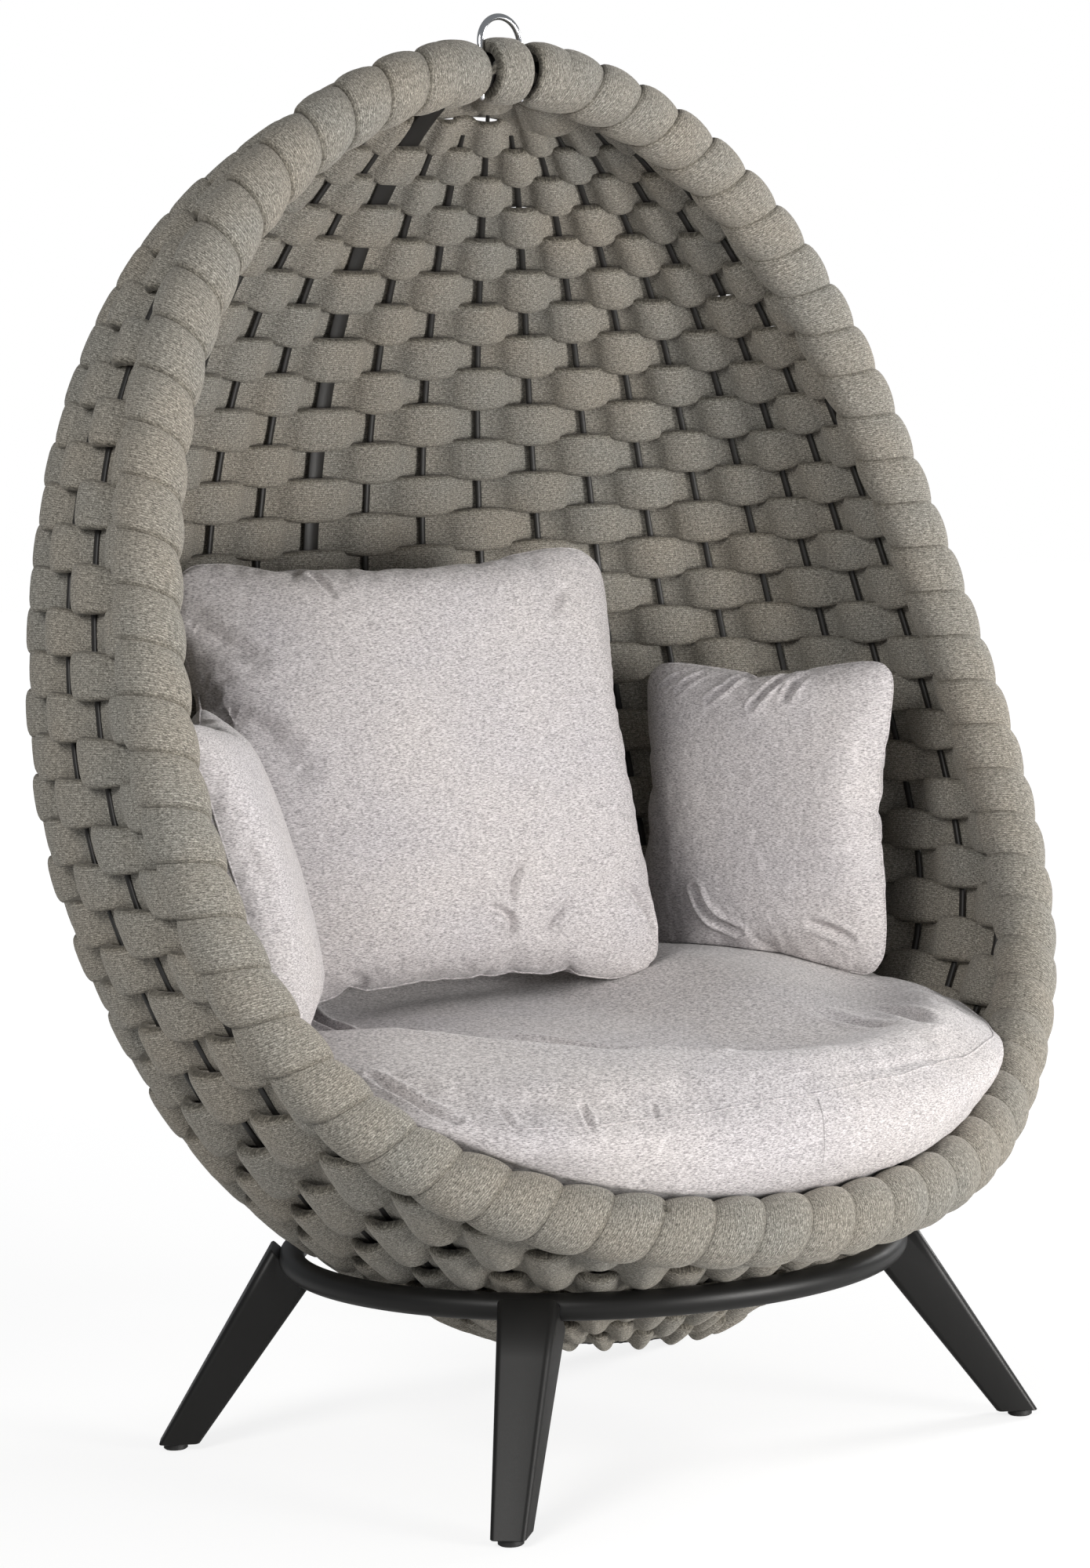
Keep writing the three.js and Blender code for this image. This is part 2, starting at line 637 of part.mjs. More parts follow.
// A leg: tapered, rounded box section, saddled over the ring's tube and cut level at the foot.
function legGeometry(angle) {
  const top = legSection(
    vec(LEG_TOP_INNER[0], 0, LEG_TOP_INNER[1]),
    vec(LEG_TOP_OUTER[0], 0, LEG_TOP_OUTER[1]),
    LEG_TOP_WIDTH,
    LEG_CORNER
  );
  const foot = legSection(
    vec(LEG_FOOT_INNER, 0, GLIDE_HEIGHT + TOUCH),
    vec(LEG_FOOT_OUTER, 0, GLIDE_HEIGHT + TOUCH),
    LEG_FOOT_WIDTH,
    LEG_CORNER * 0.7
  );
  const leg = toManifold(loft([foot, top]).applyMatrix4(legTurn(angle)));
  return fromManifold(leg.subtract(toManifold(ringGeometry(RING_TUBE_RADIUS + TOUCH))));
}

function glideGeometry(angle) {
  const place = vec((LEG_FOOT_INNER + LEG_FOOT_OUTER) / 2 + GLIDE_SETOUT, 0, GLIDE_HEIGHT / 2);
  return new THREE.CylinderGeometry(GLIDE_RADIUS, GLIDE_RADIUS, GLIDE_HEIGHT, 12)
    .rotateX(Math.PI / 2)
    .translate(place.x, place.y, place.z)
    .applyMatrix4(legTurn(angle));
}

// How high the pod's bottom pole stands when the weave rests in the ring.
function podSeatHeight() {
  const reach = WEAVE_REACH + RING_TUBE_RADIUS + TOUCH;
  let height = 0;
  for (let level = 0.02; level < 0.2; level += 0.0005) {
    for (const angle of [0, Math.PI / 2, Math.PI]) {
      const { x, y, z } = podPoint(level, angle);
      const short = RING_RADIUS - Math.hypot(x, y);
      if (Math.abs(short) < reach) {
        height = Math.max(height, RING_HEIGHT - z + Math.sqrt(reach * reach - short * short));
      }
    }
  }
  return height;
}

// ---------------------------------------------------------------- cushions

// How far the pod's inner face lies from the ring's axis, in one direction.
function wallDistance(height, direction) {
  const level = height / POD_HEIGHT;
  const { halfWidth, halfDepth, middleY } = podSection(level);
  const normal = podNormal(level, Math.PI / 2);
  const inset = (WEAVE_REACH + SEAT_WALL_GAP) / Math.max(0.3, Math.hypot(normal.x, normal.y));
  const [a, b] = [halfWidth - inset, halfDepth - inset];
  const [dx, dy] = [Math.cos(direction) / a, Math.sin(direction) / b];
  const start = -middleY / b;
  const [p, q, r] = [dx * dx + dy * dy, dy * start, start * start - 1];
  return (-q + Math.sqrt(Math.max(q * q - p * r, 0))) / p;
}

// How far one can go from the ring's axis before the rim is near, in one direction and a little to
// each side of it.
function rimReach(height, direction, furthest) {
  const step = 4;
  const isNear = (reach) =>
    [-0.5, 0, 0.5].some((turn) => {
      const angle = direction + (turn * 2 * Math.PI) / SEAT_SIDES;
      const point = vec(reach * Math.cos(angle), reach * Math.sin(angle), height);
      return distanceToRim(point) < RIM_CLEARANCE + SEAT_RIM_GAP;
    });
  let reach = furthest / 2;
  while (reach < furthest && !isNear(reach + step)) reach += step;
  return Math.min(reach, furthest);
}

// The seat cushion, ring by ring from the bottom to the crown: how far up to the seam, how wide and
// how crowned each ring is. It fills the bowl as far as the pod's inner face and the rim let it.
function seatCushionGeometry(podBottom) {
  const rows = [
    [0, 0.62, 0],
    [0.14, 0.86, 0],
    [0.4, 0.98, 0],
    [0.68, 1, 0],
    [0.92, 0.985, 0],
    [1, 0.94, 0.2],
    [1, 0.78, 0.6],
    [1, 0.45, 0.93],
    [1, 0.12, 1],
  ];
  const rings = rows.map(([rise, spread, crown]) =>
    steps(SEAT_SIDES, (i) => {
      const direction = (2 * Math.PI * i) / SEAT_SIDES;
      const [c, s] = [Math.cos(direction), Math.sin(direction)];
      const own =
        spread /
        Math.pow(
          Math.pow(Math.abs(c) / SEAT_HALF_WIDTH, SEAT_SQUARENESS) +
            Math.pow(Math.abs(s) / SEAT_HALF_DEPTH, SEAT_SQUARENESS),
          1 / SEAT_SQUARENESS
        );
      const toBack = (1 + (own * s) / SEAT_HALF_DEPTH) / 2;
      const seam = SEAT_SEAM_FRONT + (SEAT_SEAM_BACK - SEAT_SEAM_FRONT) * toBack;
      const height = SEAT_BOTTOM + (seam - SEAT_BOTTOM) * rise + SEAT_CROWN * crown;
      const wall = wallDistance(height - podBottom, direction);
      const reach = rimReach(height - podBottom, direction, Math.min(own, wall));
      return vec(reach * c, reach * s, height);
    })
  );
  return loft(rings);
}

// A loose pillow: two crowned faces that meet in a seam, with the sides drawn in between the corners.
// "lean" tips it back.
function pillowGeometry({ size, middle, lift, facing, lean }) {
  const [halfWidth, halfHeight, halfThickness] = size.map((share) => (share * POD_HALF_WIDTH) / 2);
  const [x, y] = middle.map((share) => share * POD_HALF_WIDTH);
  const height = SEAT_SEAM_BACK + lift + halfHeight * Math.cos(radians(lean));
  const cells = 6;
  const spread = (i) => Math.sin((Math.PI / 2) * ((2 * i) / cells - 1));
  const face = (side) =>
    steps(cells + 1, (row) =>
      steps(cells + 1, (column) => {
        const [u, v] = [spread(column), spread(row)];
        const crown = Math.pow((1 - u * u) * (1 - v * v), 0.42);
        const seam = side * (PILLOW_SEAM / 2);
        return vec(
          halfWidth * u * (1 - PILLOW_DRAW_IN * (1 - v * v) * Math.abs(u)),
          seam + side * (halfThickness - PILLOW_SEAM / 2) * crown,
          halfHeight * v * (1 - PILLOW_DRAW_IN * (1 - u * u) * Math.abs(v))
        );
      })
    );
  const [front, back] = [face(-1), face(1)];
  const points = [...front.flat(), ...back.flat()];
  const at = (row, column) => row * (cells + 1) + column;
  const behind = (cells + 1) * (cells + 1);
  const index = [];
  for (let row = 0; row < cells; row++) {
    for (let column = 0; column < cells; column++) {
      const [a, b] = [at(row, column), at(row, column + 1)];
      const [c, d] = [at(row + 1, column + 1), at(row + 1, column)];
      index.push(a, b, c, a, c, d);
      index.push(a + behind, c + behind, b + behind, a + behind, d + behind, c + behind);
    }
  }
  const rimPath = [
    ...steps(cells, (i) => at(0, i)),
    ...steps(cells, (i) => at(i, cells)),
    ...steps(cells, (i) => at(cells, cells - i)),
    ...steps(cells, (i) => at(cells - i, 0)),
  ];
  rimPath.forEach((a, i) => {
    const b = rimPath[(i + 1) % rimPath.length];
    index.push(b, a, a + behind, b, a + behind, b + behind);
  });
  return toGeometry(points, index)
    .rotateX(radians(-lean))
    .rotateZ(radians(facing))
    .translate(x, y, height);
}

// ---------------------------------------------------------------- assembly

const chair = new THREE.Group();

function addPiece(parent, name, geometry, material) {
  const mesh = new THREE.Mesh(geometry, material);
  mesh.name = name;
  parent.add(mesh);
}

const legNames = ['front_left', 'front_right', 'rear_left', 'rear_right'];
addPiece(chair, 'base_ring', ringGeometry(RING_TUBE_RADIUS), STAND_PAINT);
LEG_ANGLES.forEach((angle, i) => {
  addPiece(chair, `leg_${legNames[i]}`, legGeometry(angle), STAND_PAINT);
  addPiece(chair, `foot_glide_${legNames[i]}`, glideGeometry(angle), GLIDE_PLASTIC);
});

const pod = new THREE.Group();
const podBottom = podSeatHeight();
pod.position.z = podBottom;
chair.add(pod);

addPiece(pod, 'rib_cage', ribCageGeometry(), RIB_PAINT);
addPiece(pod, 'rim_hoop', rimHoopGeometry(), RIB_PAINT);
const wrapTurns = Math.round((RIM_LENGTH - 2 * mainWrapStart) / WRAP_PITCH);
addPiece(pod, 'rim_wrap', wrapGeometry(mainWrapStart, RIM_LENGTH - mainWrapStart, wrapTurns), STRAP_FABRIC);
addPiece(pod, 'rim_wrap_top', wrapGeometry(-topWrapEnd, topWrapEnd, 1), STRAP_FABRIC);
addPiece(pod, 'hanging_loop', hangingLoopGeometry(), CHROME);
legPlaces.forEach((place, i) => {
  addPiece(pod, `dome_nut_${['left', 'right'][i]}`, domeNutGeometry(place), CHROME);
});
for (let course = 0; course < COURSE_COUNT; course++) {
  const name = `woven_strap_${String(course + 1).padStart(2, '0')}`;
  addPiece(pod, name, courseGeometry(course), STRAP_FABRIC);
}

addPiece(chair, 'seat_cushion', seatCushionGeometry(podBottom), CUSHION_FABRIC);
addPiece(chair, 'back_pillow', pillowGeometry(BACK_PILLOW), CUSHION_FABRIC);
addPiece(chair, 'scatter_pillow_right', pillowGeometry(RIGHT_PILLOW), CUSHION_FABRIC);
addPiece(chair, 'scatter_pillow_left', pillowGeometry(LEFT_PILLOW), CUSHION_FABRIC);

// The origin is on the floor, below the middle of the whole chair.
chair.updateMatrixWorld(true);
const bounds = new THREE.Box3().setFromObject(chair);
const middle = bounds.getCenter(vec());
chair.position.set(-middle.x, -middle.y, -bounds.min.z);

export default chair;
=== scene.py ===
"""Finish of the woven egg chair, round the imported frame. Metres, +Z up, the mouth faces -Y."""

import math

import bmesh
import bpy
import numpy as np
from mathutils import Matrix, Vector
from mathutils.bvhtree import BVHTree
from mathutils.kdtree import KDTree


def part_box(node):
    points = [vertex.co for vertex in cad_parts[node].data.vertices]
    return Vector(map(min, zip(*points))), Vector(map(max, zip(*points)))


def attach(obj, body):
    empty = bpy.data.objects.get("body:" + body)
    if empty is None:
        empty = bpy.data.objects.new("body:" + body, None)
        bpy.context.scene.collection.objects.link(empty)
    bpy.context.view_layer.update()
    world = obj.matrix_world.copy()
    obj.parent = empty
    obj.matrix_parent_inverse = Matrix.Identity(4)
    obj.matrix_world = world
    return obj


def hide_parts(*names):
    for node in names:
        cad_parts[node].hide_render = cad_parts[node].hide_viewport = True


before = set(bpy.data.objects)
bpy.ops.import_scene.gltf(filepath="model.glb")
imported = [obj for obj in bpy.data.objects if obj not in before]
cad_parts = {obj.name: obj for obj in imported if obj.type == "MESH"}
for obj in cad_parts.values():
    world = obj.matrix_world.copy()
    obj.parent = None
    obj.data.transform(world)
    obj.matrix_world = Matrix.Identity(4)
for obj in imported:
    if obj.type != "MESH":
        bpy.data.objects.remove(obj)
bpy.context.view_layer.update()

TAU = 2 * math.pi

# ---- sizes, in metres but for the creases

# Pod shell, midway through the weave: level sections are ellipses, level 0 the bottom pole
POD_HEIGHT = 1.546
POD_HALF_WIDTH = 0.651
POD_TAPER = (-0.1137, 0.1172, 0.2297, -0.2571)
DEPTH_SHARE = (0.759, -0.262, -0.4119, 0.435)
SWEEP_SHARE = (0.0062, 0.3324, -0.2774, -0.1275)
WAIST_LEVEL = 0.4
BOWL_LEVELS = (0.03, 0.374)
BELLY_DROP = 0.0134
BELLY_LEVEL = 0.1135
POLE_FORWARD = 0.025
POLE_LEVEL = 0.05

# Mouth
MOUTH_SHARE = (0.0633, -0.0327, -0.2664, -0.0546)
MOUTH_LIP = 0.099
MOUTH_LIP_DROP = 0.878
MOUTH_LIP_SHARPNESS = 24
RIM_STEPS = 2400

# Weave
RIB_COUNT = 44
RIB_PITCH = TAU / RIB_COUNT
STEPS_PER_RIB = 12
COURSE_COUNT = 38
FIRST_COURSE_DROP = 0.0715
CROWN_COURSES = 2  # these cross only every third rib
CROWN_RIB_STEP = 3
STRAP_SWING = (0.0112, 0.0158)  # how far its middle stands off the shell at a rib, inside and outside
STRAP_CROWN = 1.21  # width over the crossings, in course pitches
STRAP_WAIST = 1.07  # width where it changes sides
STRAP_HALF_THICK = 0.0104
STRAP_EASE = 0.06  # the rows near the crown are this much wider, so that they close there
EASED_ROWS = 14
BOWL_EASE = 0.32  # and so are the bowl's rows, by more and more between these two
BOWL_ROWS = (24, 32)
BOWL_END_TAPER = 0.5  # the bowl rows narrow again where they run into the rim
TOP_EASE = 0.25  # the topmost row, which has one more short pass above it, at the crown
STRAP_DWELL = 0.70  # below 1 a strap stays longer at its full swing
TIGHT_SPACE = 0.070  # ribs closer than this leave a strap less room to swing
STRAP_END = 0.030  # so far from the rim a strap's swing fades out
STRAP_SIDES, STRAP_EDGE = 20, 0.64  # points round its section, and the power that rounds it
STRAP_WOBBLE = (0.018, 0.06, 0.0009)  # shares of its width and of its swing, and up and down
STRAP_SEED = 300
RIB_HALF_WIDTH = 0.0042
RIB_HALF_THICK = 0.0021
RIB_STEP = 0.030
RIB_SHORT = 0.004  # so far past the rim's middle line a rib may end
SPINE_HALF_WIDTH = 0.0125
HUB_RADIUS = 0.136
HUB_HALF_THICK = 0.003
HUB_TO_WEAVE = 0.013
RIB_ROOT = 0.005  # how far the ribs run in under the hub plate's edge

# Rim
WRAP_MIDDLE = 0.0278  # from the rim's middle line to the middle of the wound strap
WRAP_PITCH = 0.0635
WRAP_HALF_WIDTH = 0.0375
WRAP_HALF_THICK = 0.0126
WRAP_INNER = 0.006  # it is pressed flat on the tube
WRAP_TILT = math.radians(6.0)
LOOP_SLIT = 0.0095  # the open gap in the wrapping at each leg of the loop
TURN_STEPS = 28
WRAP_SIDES = 24
WRAP_SEED = 11

# Stand
RING_RADIUS = 0.3695
RING_TUBE = 0.016
RING_HEIGHT = 0.234
RING_PLAY = 0.0005  # between the ring and the straps that it presses in
SADDLE_PLAY = 0.0002
LEG_ANGLES = {"front_left": -51.6, "front_right": 51.6, "rear_left": -128.4, "rear_right": 128.4}
LEG_TOP = ((0.347, 0.202), (0.394, 0.249))  # radius and height of its inner and outer edge
LEG_FOOT = ((0.491, 0.0084), (0.541, 0.0084))
LEG_WIDTHS = (0.041, 0.071)  # at the foot and at the top
LEG_CORNERS = (0.0063, 0.009)

# Pillows: width, height and thickness, the way each faces and how far it leans back, in degrees
PILLOWS = {
    "back_pillow": ((0.612, 0.527, 0.163), -11, 14),
    "scatter_pillow_right": ((0.365, 0.368, 0.130), -70, 8),
    "scatter_pillow_left": ((0.365, 0.368, 0.130), 52, 15),
}
PILLOW_SLUMP = 0.042  # how far the lower half sinks, at the lower edge

# Creases in the pillows' front faces, in millimetres: points across and up from the middle, half width
# and depth
PILLOW_CREASES = {
    "back_pillow": [
        ([(85, -150), (66, -176), (62, -200)], 4.5, 7),
        ([(30, -205), (55, -212), (66, -228), (55, -246)], 5, 8),
        ([(150, -205), (128, -222), (110, -242)], 5, 8),
        ([(240, -190), (275, -215), (290, -245)], 6, 10),
        ([(215, 200), (190, 165)], 6, 6),
        ([(-300, 80), (-240, 45), (-200, -10)], 16, 13),
        ([(-290, 180), (-230, 130)], 12, 10),
        ([(-130, 235), (-115, 205)], 5, 6),
    ],
    "scatter_pillow_right": [
        ([(-73, -118), (-61, -146), (-40, -163), (-10, -174)], 4.5, 11),
        ([(-15, 165), (-40, 145), (-64, 130)], 4, 8),
        ([(43, 165), (20, 140), (3, 120)], 4, 9),
        ([(-88, 165), (-116, 144)], 4, 7),
        ([(-122, 163), (-146, 150)], 4, 6),
        ([(64, 162), (49, 131)], 5, 8),
        ([(94, -160), (118, -166), (142, -178)], 5, 8),
    ],
    "scatter_pillow_left": [
        ([(110, 120), (126, 60), (124, 0)], 7, 5),
        ([(60, -165), (80, -140)], 5, 7),
    ],
}

# The seat's top has been sat in: behind this line, (x, y) from the ring's middle, it dips
SEAT_CREST = [
    (-0.50, 0.08), (-0.31, -0.05), (-0.250, -0.16), (-0.165, -0.26), (-0.060, -0.315),
    (0.025, -0.35), (0.144, -0.360), (0.329, -0.300), (0.50, -0.17),
]
SEAT_DIP = (0.044, 0.026)  # depth under the pillows on the left, and on the right
SEAT_FILL = 1.015  # the stuffed cover over the plain solid's size
SEAT_RISE = 0.003

# Creases in the seat, in millimetres: points from the ring's middle and the floor, half width and depth
SEAT_CREASES = [
    ([(-210, 100, 550), (-178, -57, 534), (-150, -135, 525), (-138, -197, 514), (-106, -238, 506),
      (-68, -262, 502), (-50, -290, 496)], 7, 20),
    ([(-300, 60, 550), (-262, -20, 540), (-222, -95, 529), (-170, -150, 521)], 9, 12),
    ([(-120, 0, 530), (-90, -80, 520), (-50, -150, 510)], 10, 9),
    ([(-371, -284, 481), (-377, -305, 474), (-374, -319, 461)], 3.2, 4),
    ([(-289, -328, 475), (-297, -352, 465), (-302, -360, 455)], 3.2, 4),
    ([(-210, -358, 470), (-218, -377, 460)], 3, 2.8),
    ([(-442, -146, 505), (-437, -200, 493), (-435, -245, 481), (-420, -269, 465)], 4.5, 10),
    ([(-216, 288, 560), (-245, 200, 556), (-261, 124, 552)], 6, 11),
    ([(-260, 69, 547), (-244, 8, 541), (-234, -49, 535)], 5, 9),
    ([(-320, 124, 548), (-322, 44, 541), (-303, -7, 536)], 6, 10),
    ([(261, -150, 514), (270, -204, 508), (266, -248, 499)], 10, 7),
    ([(355, -160, 509), (340, -220, 501), (312, -275, 490)], 10, 7),
    ([(59, -378, 468), (161, -370, 468), (292, -350, 468)], 6, 2),
]
# The seams of the seat's cover that the photo shows, from the same place
SEAT_SEAMS = [
    [(-424, -264, 460), (-381, -314, 458), (-302, -357, 455), (-158, -389, 456), (22, -397, 458),
     (158, -386, 461), (310, -349, 462), (420, -290, 470), (500, -200, 482), (550, -90, 495)],
    [(6, -401, 452), (-7, -415, 421), (-11, -419, 385)],
]
CREASE_STEP = 0.006
CREASE_REACHES = (0.030, 0.017)  # so far round the creases a cover's mesh is made finer, twice
WELT_RADII = (0.0015, 0.0013)  # of the pillows' and of the seat's sewn edges
WALL_GAP = 0.024  # a cushion's face stays this far inside the shell
RIM_GAP = 0.043  # and this far from the rim's middle line

# Hanging loop
LOOP_ROD = 0.004
LOOP_HALF_SPAN = 0.031
LOOP_RISE = 0.066
NUT_HEIGHT = 0.0082

# Fabric and floor
WALE_PITCH = 0.0027
STITCH_PITCH = 0.0031
FLOOR_HALF = 30.0


# ---- pod shell


def polynomial(terms, x):
    total = 0.0
    for term in reversed(terms):
        total = total * x + term
    return total


def smooth(share):
    share = np.clip(share, 0, 1)
    return share * share * (3 - 2 * share)


def between(value, limits):
    """A smooth step from 0 at the first limit to 1 at the second."""
    return smooth((value - limits[0]) / (limits[1] - limits[0]))


def unit(v):
    return v / np.maximum(np.linalg.norm(v, axis=-1, keepdims=True), 1e-12)


def lengths_along(points):
    """How far along a line each of its points lies."""
    return np.concatenate([[0], np.cumsum(np.linalg.norm(np.diff(points, axis=0), axis=1))])


def evenly(points, steps):
    """A line's points spaced evenly, in so many steps."""
    length = lengths_along(points)
    even = np.linspace(0, length[-1], steps + 1)
    return np.stack([np.interp(even, length, points[:, k]) for k in range(3)], -1)


def pod_section(level):
    """Half width, half depth, middle y and height of level sections."""
    tilt = 2 * level - 1
    egg = 1 + tilt * polynomial(POD_TAPER, tilt)
    half_width = POD_HALF_WIDTH * 2 * np.sqrt(np.maximum(level * (1 - level), 0)) * egg
    oval = between(level, BOWL_LEVELS)
    rise = level - WAIST_LEVEL
    depth = 1 + (polynomial(DEPTH_SHARE, rise) - 1) * oval
    forward = POLE_FORWARD * smooth(1 - level / POLE_LEVEL)
    middle = POD_HEIGHT * polynomial(SWEEP_SHARE, rise) * oval - forward
    height = POD_HEIGHT * level - BELLY_DROP * np.maximum(1 - level / BELLY_LEVEL, 0) ** 2
    return half_width, half_width * depth, middle, height


def shell_point(level, angle):
    """Points of the shell in the pod's own frame; an angle runs from the front towards +X."""
    level, angle = np.broadcast_arrays(np.asarray(level, float), np.asarray(angle, float))
    half_width, half_depth, middle, height = pod_section(level)
    return np.stack([half_width * np.sin(angle), middle - half_depth * np.cos(angle), height], -1)


def shell_normal(level, angle):
    step = 1e-4
    above, below = np.minimum(level + step, 1 - 1e-7), np.maximum(level - step, 1e-7)
    side = shell_point(level, np.asarray(angle) + step) - shell_point(level, np.asarray(angle) - step)
    return unit(np.cross(side, shell_point(above, angle) - shell_point(below, angle)))


def mouth_y(level):
    drop = 1 - level
    lip = MOUTH_LIP * (drop / MOUTH_LIP_DROP) ** MOUTH_LIP_SHARPNESS
    return POD_HEIGHT * polynomial(MOUTH_SHARE, drop) - lip


def rim_angle(level):
    """Angle from the front at which the rim crosses a level, 0 below the rim and pi above it."""
    _, half_depth, middle, _ = pod_section(level)
    return np.arccos(np.clip((middle - mouth_y(level)) / np.maximum(half_depth, 1e-9), -1, 1))


def spine_lengths():
    """Lengths down the spine from the crown, and their levels."""
    level = 0.5 * (1 + np.cos(np.linspace(0, math.pi, 4001)))
    return lengths_along(shell_point(level, math.pi)), level


SPINE_LENGTHS, SPINE_LEVELS = spine_lengths()


def level_down_spine(drop):
    return np.interp(drop, SPINE_LENGTHS, SPINE_LEVELS)


def level_at_radius(radius):
    level = np.linspace(0, 0.1, 4001)
    return float(np.interp(radius, pod_section(level)[0], level))


HUB_LEVEL = level_at_radius(HUB_RADIUS)
SPINE_TO_HUB = float(np.interp(-HUB_LEVEL, -SPINE_LEVELS, SPINE_LENGTHS))
COURSE_PITCH = (SPINE_TO_HUB - HUB_TO_WEAVE - FIRST_COURSE_DROP) / (COURSE_COUNT - 0.5)


def rim_levels():
    """The levels of the rim's highest and lowest points."""
    level = np.linspace(0.999999, 0.02, 60000)
    _, half_depth, middle, _ = pod_section(level)
    inside = (middle - mouth_y(level)) < half_depth
    first = int(np.argmax(inside))
    last = len(level) - 1 - int(np.argmax(inside[::-1]))
    return level[first], level[last]


RIM_TOP_LEVEL, RIM_LOW_LEVEL = rim_levels()


def rim_line():
    """The rim's middle line, evenly spaced, from the top down the +X side and back up the other."""
    turn = np.linspace(0, TAU, 6001)
    half = (RIM_TOP_LEVEL - RIM_LOW_LEVEL) / 2
    level = (RIM_TOP_LEVEL + RIM_LOW_LEVEL) / 2 + half * np.cos(turn)
    half_width, half_depth, middle, height = pod_section(level)
    cosine = np.clip((middle - mouth_y(level)) / half_depth, -1, 1)
    side = np.sqrt(1 - cosine**2) * np.sign(np.sin(turn))
    points = np.stack([half_width * side, mouth_y(level), height], -1)
    points[[0, -1]] = points[0] * [0, 1, 1]
    return evenly(points, RIM_STEPS), lengths_along(points)[-1]


RIM_POINTS, RIM_LENGTH = rim_line()
RIM_TOP = RIM_POINTS[0]

# The frame says where the pod stands: the middle of its ring, and the top of its hanging loop.
ring_low, ring_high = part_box("base_ring")
loop_low, loop_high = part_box("hanging_loop")
LOOP_FACET = math.cos(TAU / 16)  # the plain solid's rod has 8 sides, so it stands this much less high
POD_PLACE = np.array([
    (ring_low.x + ring_high.x) / 2,
    (ring_low.y + ring_high.y) / 2,
    loop_high.z - LOOP_ROD * LOOP_FACET - LOOP_RISE - RIM_TOP[2],
])
STAND_PLACE = np.array([POD_PLACE[0], POD_PLACE[1], 0])


def rim_at(length):
    """Middle, direction along, direction to the back and direction off the mouth, at lengths."""
    place = np.mod(np.asarray(length, float) / RIM_LENGTH, 1) * RIM_STEPS
    before = np.floor(place).astype(int) % RIM_STEPS
    share = (place - np.floor(place))[..., None]
    middle = RIM_POINTS[before] * (1 - share) + RIM_POINTS[before + 1] * share
    window = 6
    ahead, behind = RIM_POINTS[(before + window) % RIM_STEPS], RIM_POINTS[(before - window) % RIM_STEPS]
    along = unit(ahead - behind)
    back = unit(np.array([0.0, 1.0, 0.0]) - along * along[..., 1:2])
    return middle, along, back, np.cross(along, back)


# ---- mesh helpers


def new_object(name, data):
    made = bpy.data.objects.new(name, data)
    bpy.context.scene.collection.objects.link(made)
    return made


def keep_mesh(name, mesh):
    """A new object that holds a mesh, smooth, at the origin."""
    mesh.shade_smooth()
    return new_object(name, mesh)


def triples(items, field, kind=float):
    out = np.zeros(len(items) * 3, kind)
    items.foreach_get(field, out)
    return out.reshape(-1, 3)


def coordinates(mesh):
    return triples(mesh.vertices, "co")


def normals(mesh):
    return triples(mesh.vertex_normals, "vector")


def face_outwards(mesh):
    """Flips a closed mesh whose volume, summed over its triangles, is negative."""
    mesh.calc_loop_triangles()
    co, tri = coordinates(mesh), triples(mesh.loop_triangles, "vertices", np.int32)
    a, b, c = (co[tri[:, k]] for k in range(3))
    if np.einsum("ij,ij->i", a, np.cross(b, c)).sum() < 0:
        mesh.flip_normals()


def mesh_from(name, points, faces):
    mesh = bpy.data.meshes.new(name)
    mesh.from_pydata([tuple(p) for p in points], [], faces)
    mesh.validate()
    face_outwards(mesh)
    return mesh


def quads(number):
    """The faces between the points of a grid, by their numbers."""
    corners = [number[:-1, :-1], number[:-1, 1:], number[1:, 1:], number[1:, :-1]]
    return np.stack(corners, -1).reshape(-1, 4)


def evaluated(piece):
    return piece.evaluated_get(bpy.context.evaluated_depsgraph_get())


def work_in(piece):
    """Works a piece's modifiers into its mesh and takes them off."""
    made = bpy.data.meshes.new_from_object(evaluated(piece))
    piece.modifiers.clear()
    piece.data = made
    made.shade_smooth()


def hand_over(pieces, body="pod"):
    """Says of finished pieces which body they ride on."""
    for piece in pieces:
        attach(piece, body)


class Tree:
    """A short way to write a node tree in the script."""

    def __init__(self, tree):
        self.tree = tree

    def fill(self, node, values):
        """Links or sets a node's inputs."""
        for key, value in values.items():
            if isinstance(value, bpy.types.NodeSocket):
                self.tree.links.new(value, node.inputs[key])
            else:
                node.inputs[key].default_value = value
        return node

    def node(self, kind, values=None, **settings):
        made = self.tree.nodes.new(kind)
        for key, value in settings.items():
            setattr(made, key, value)
        return self.fill(made, values or {})

    def math(self, operation, *values):
        return self.node("ShaderNodeMath", dict(enumerate(values)), operation=operation).outputs[0]

    def vector(self, operation, first, second):
        places = (0, 3) if operation == "SCALE" else (0, 1)
        values = dict(zip(places, (first, second)))
        return self.node("ShaderNodeVectorMath", values, operation=operation).outputs[0]


# ---- sections swept along rails


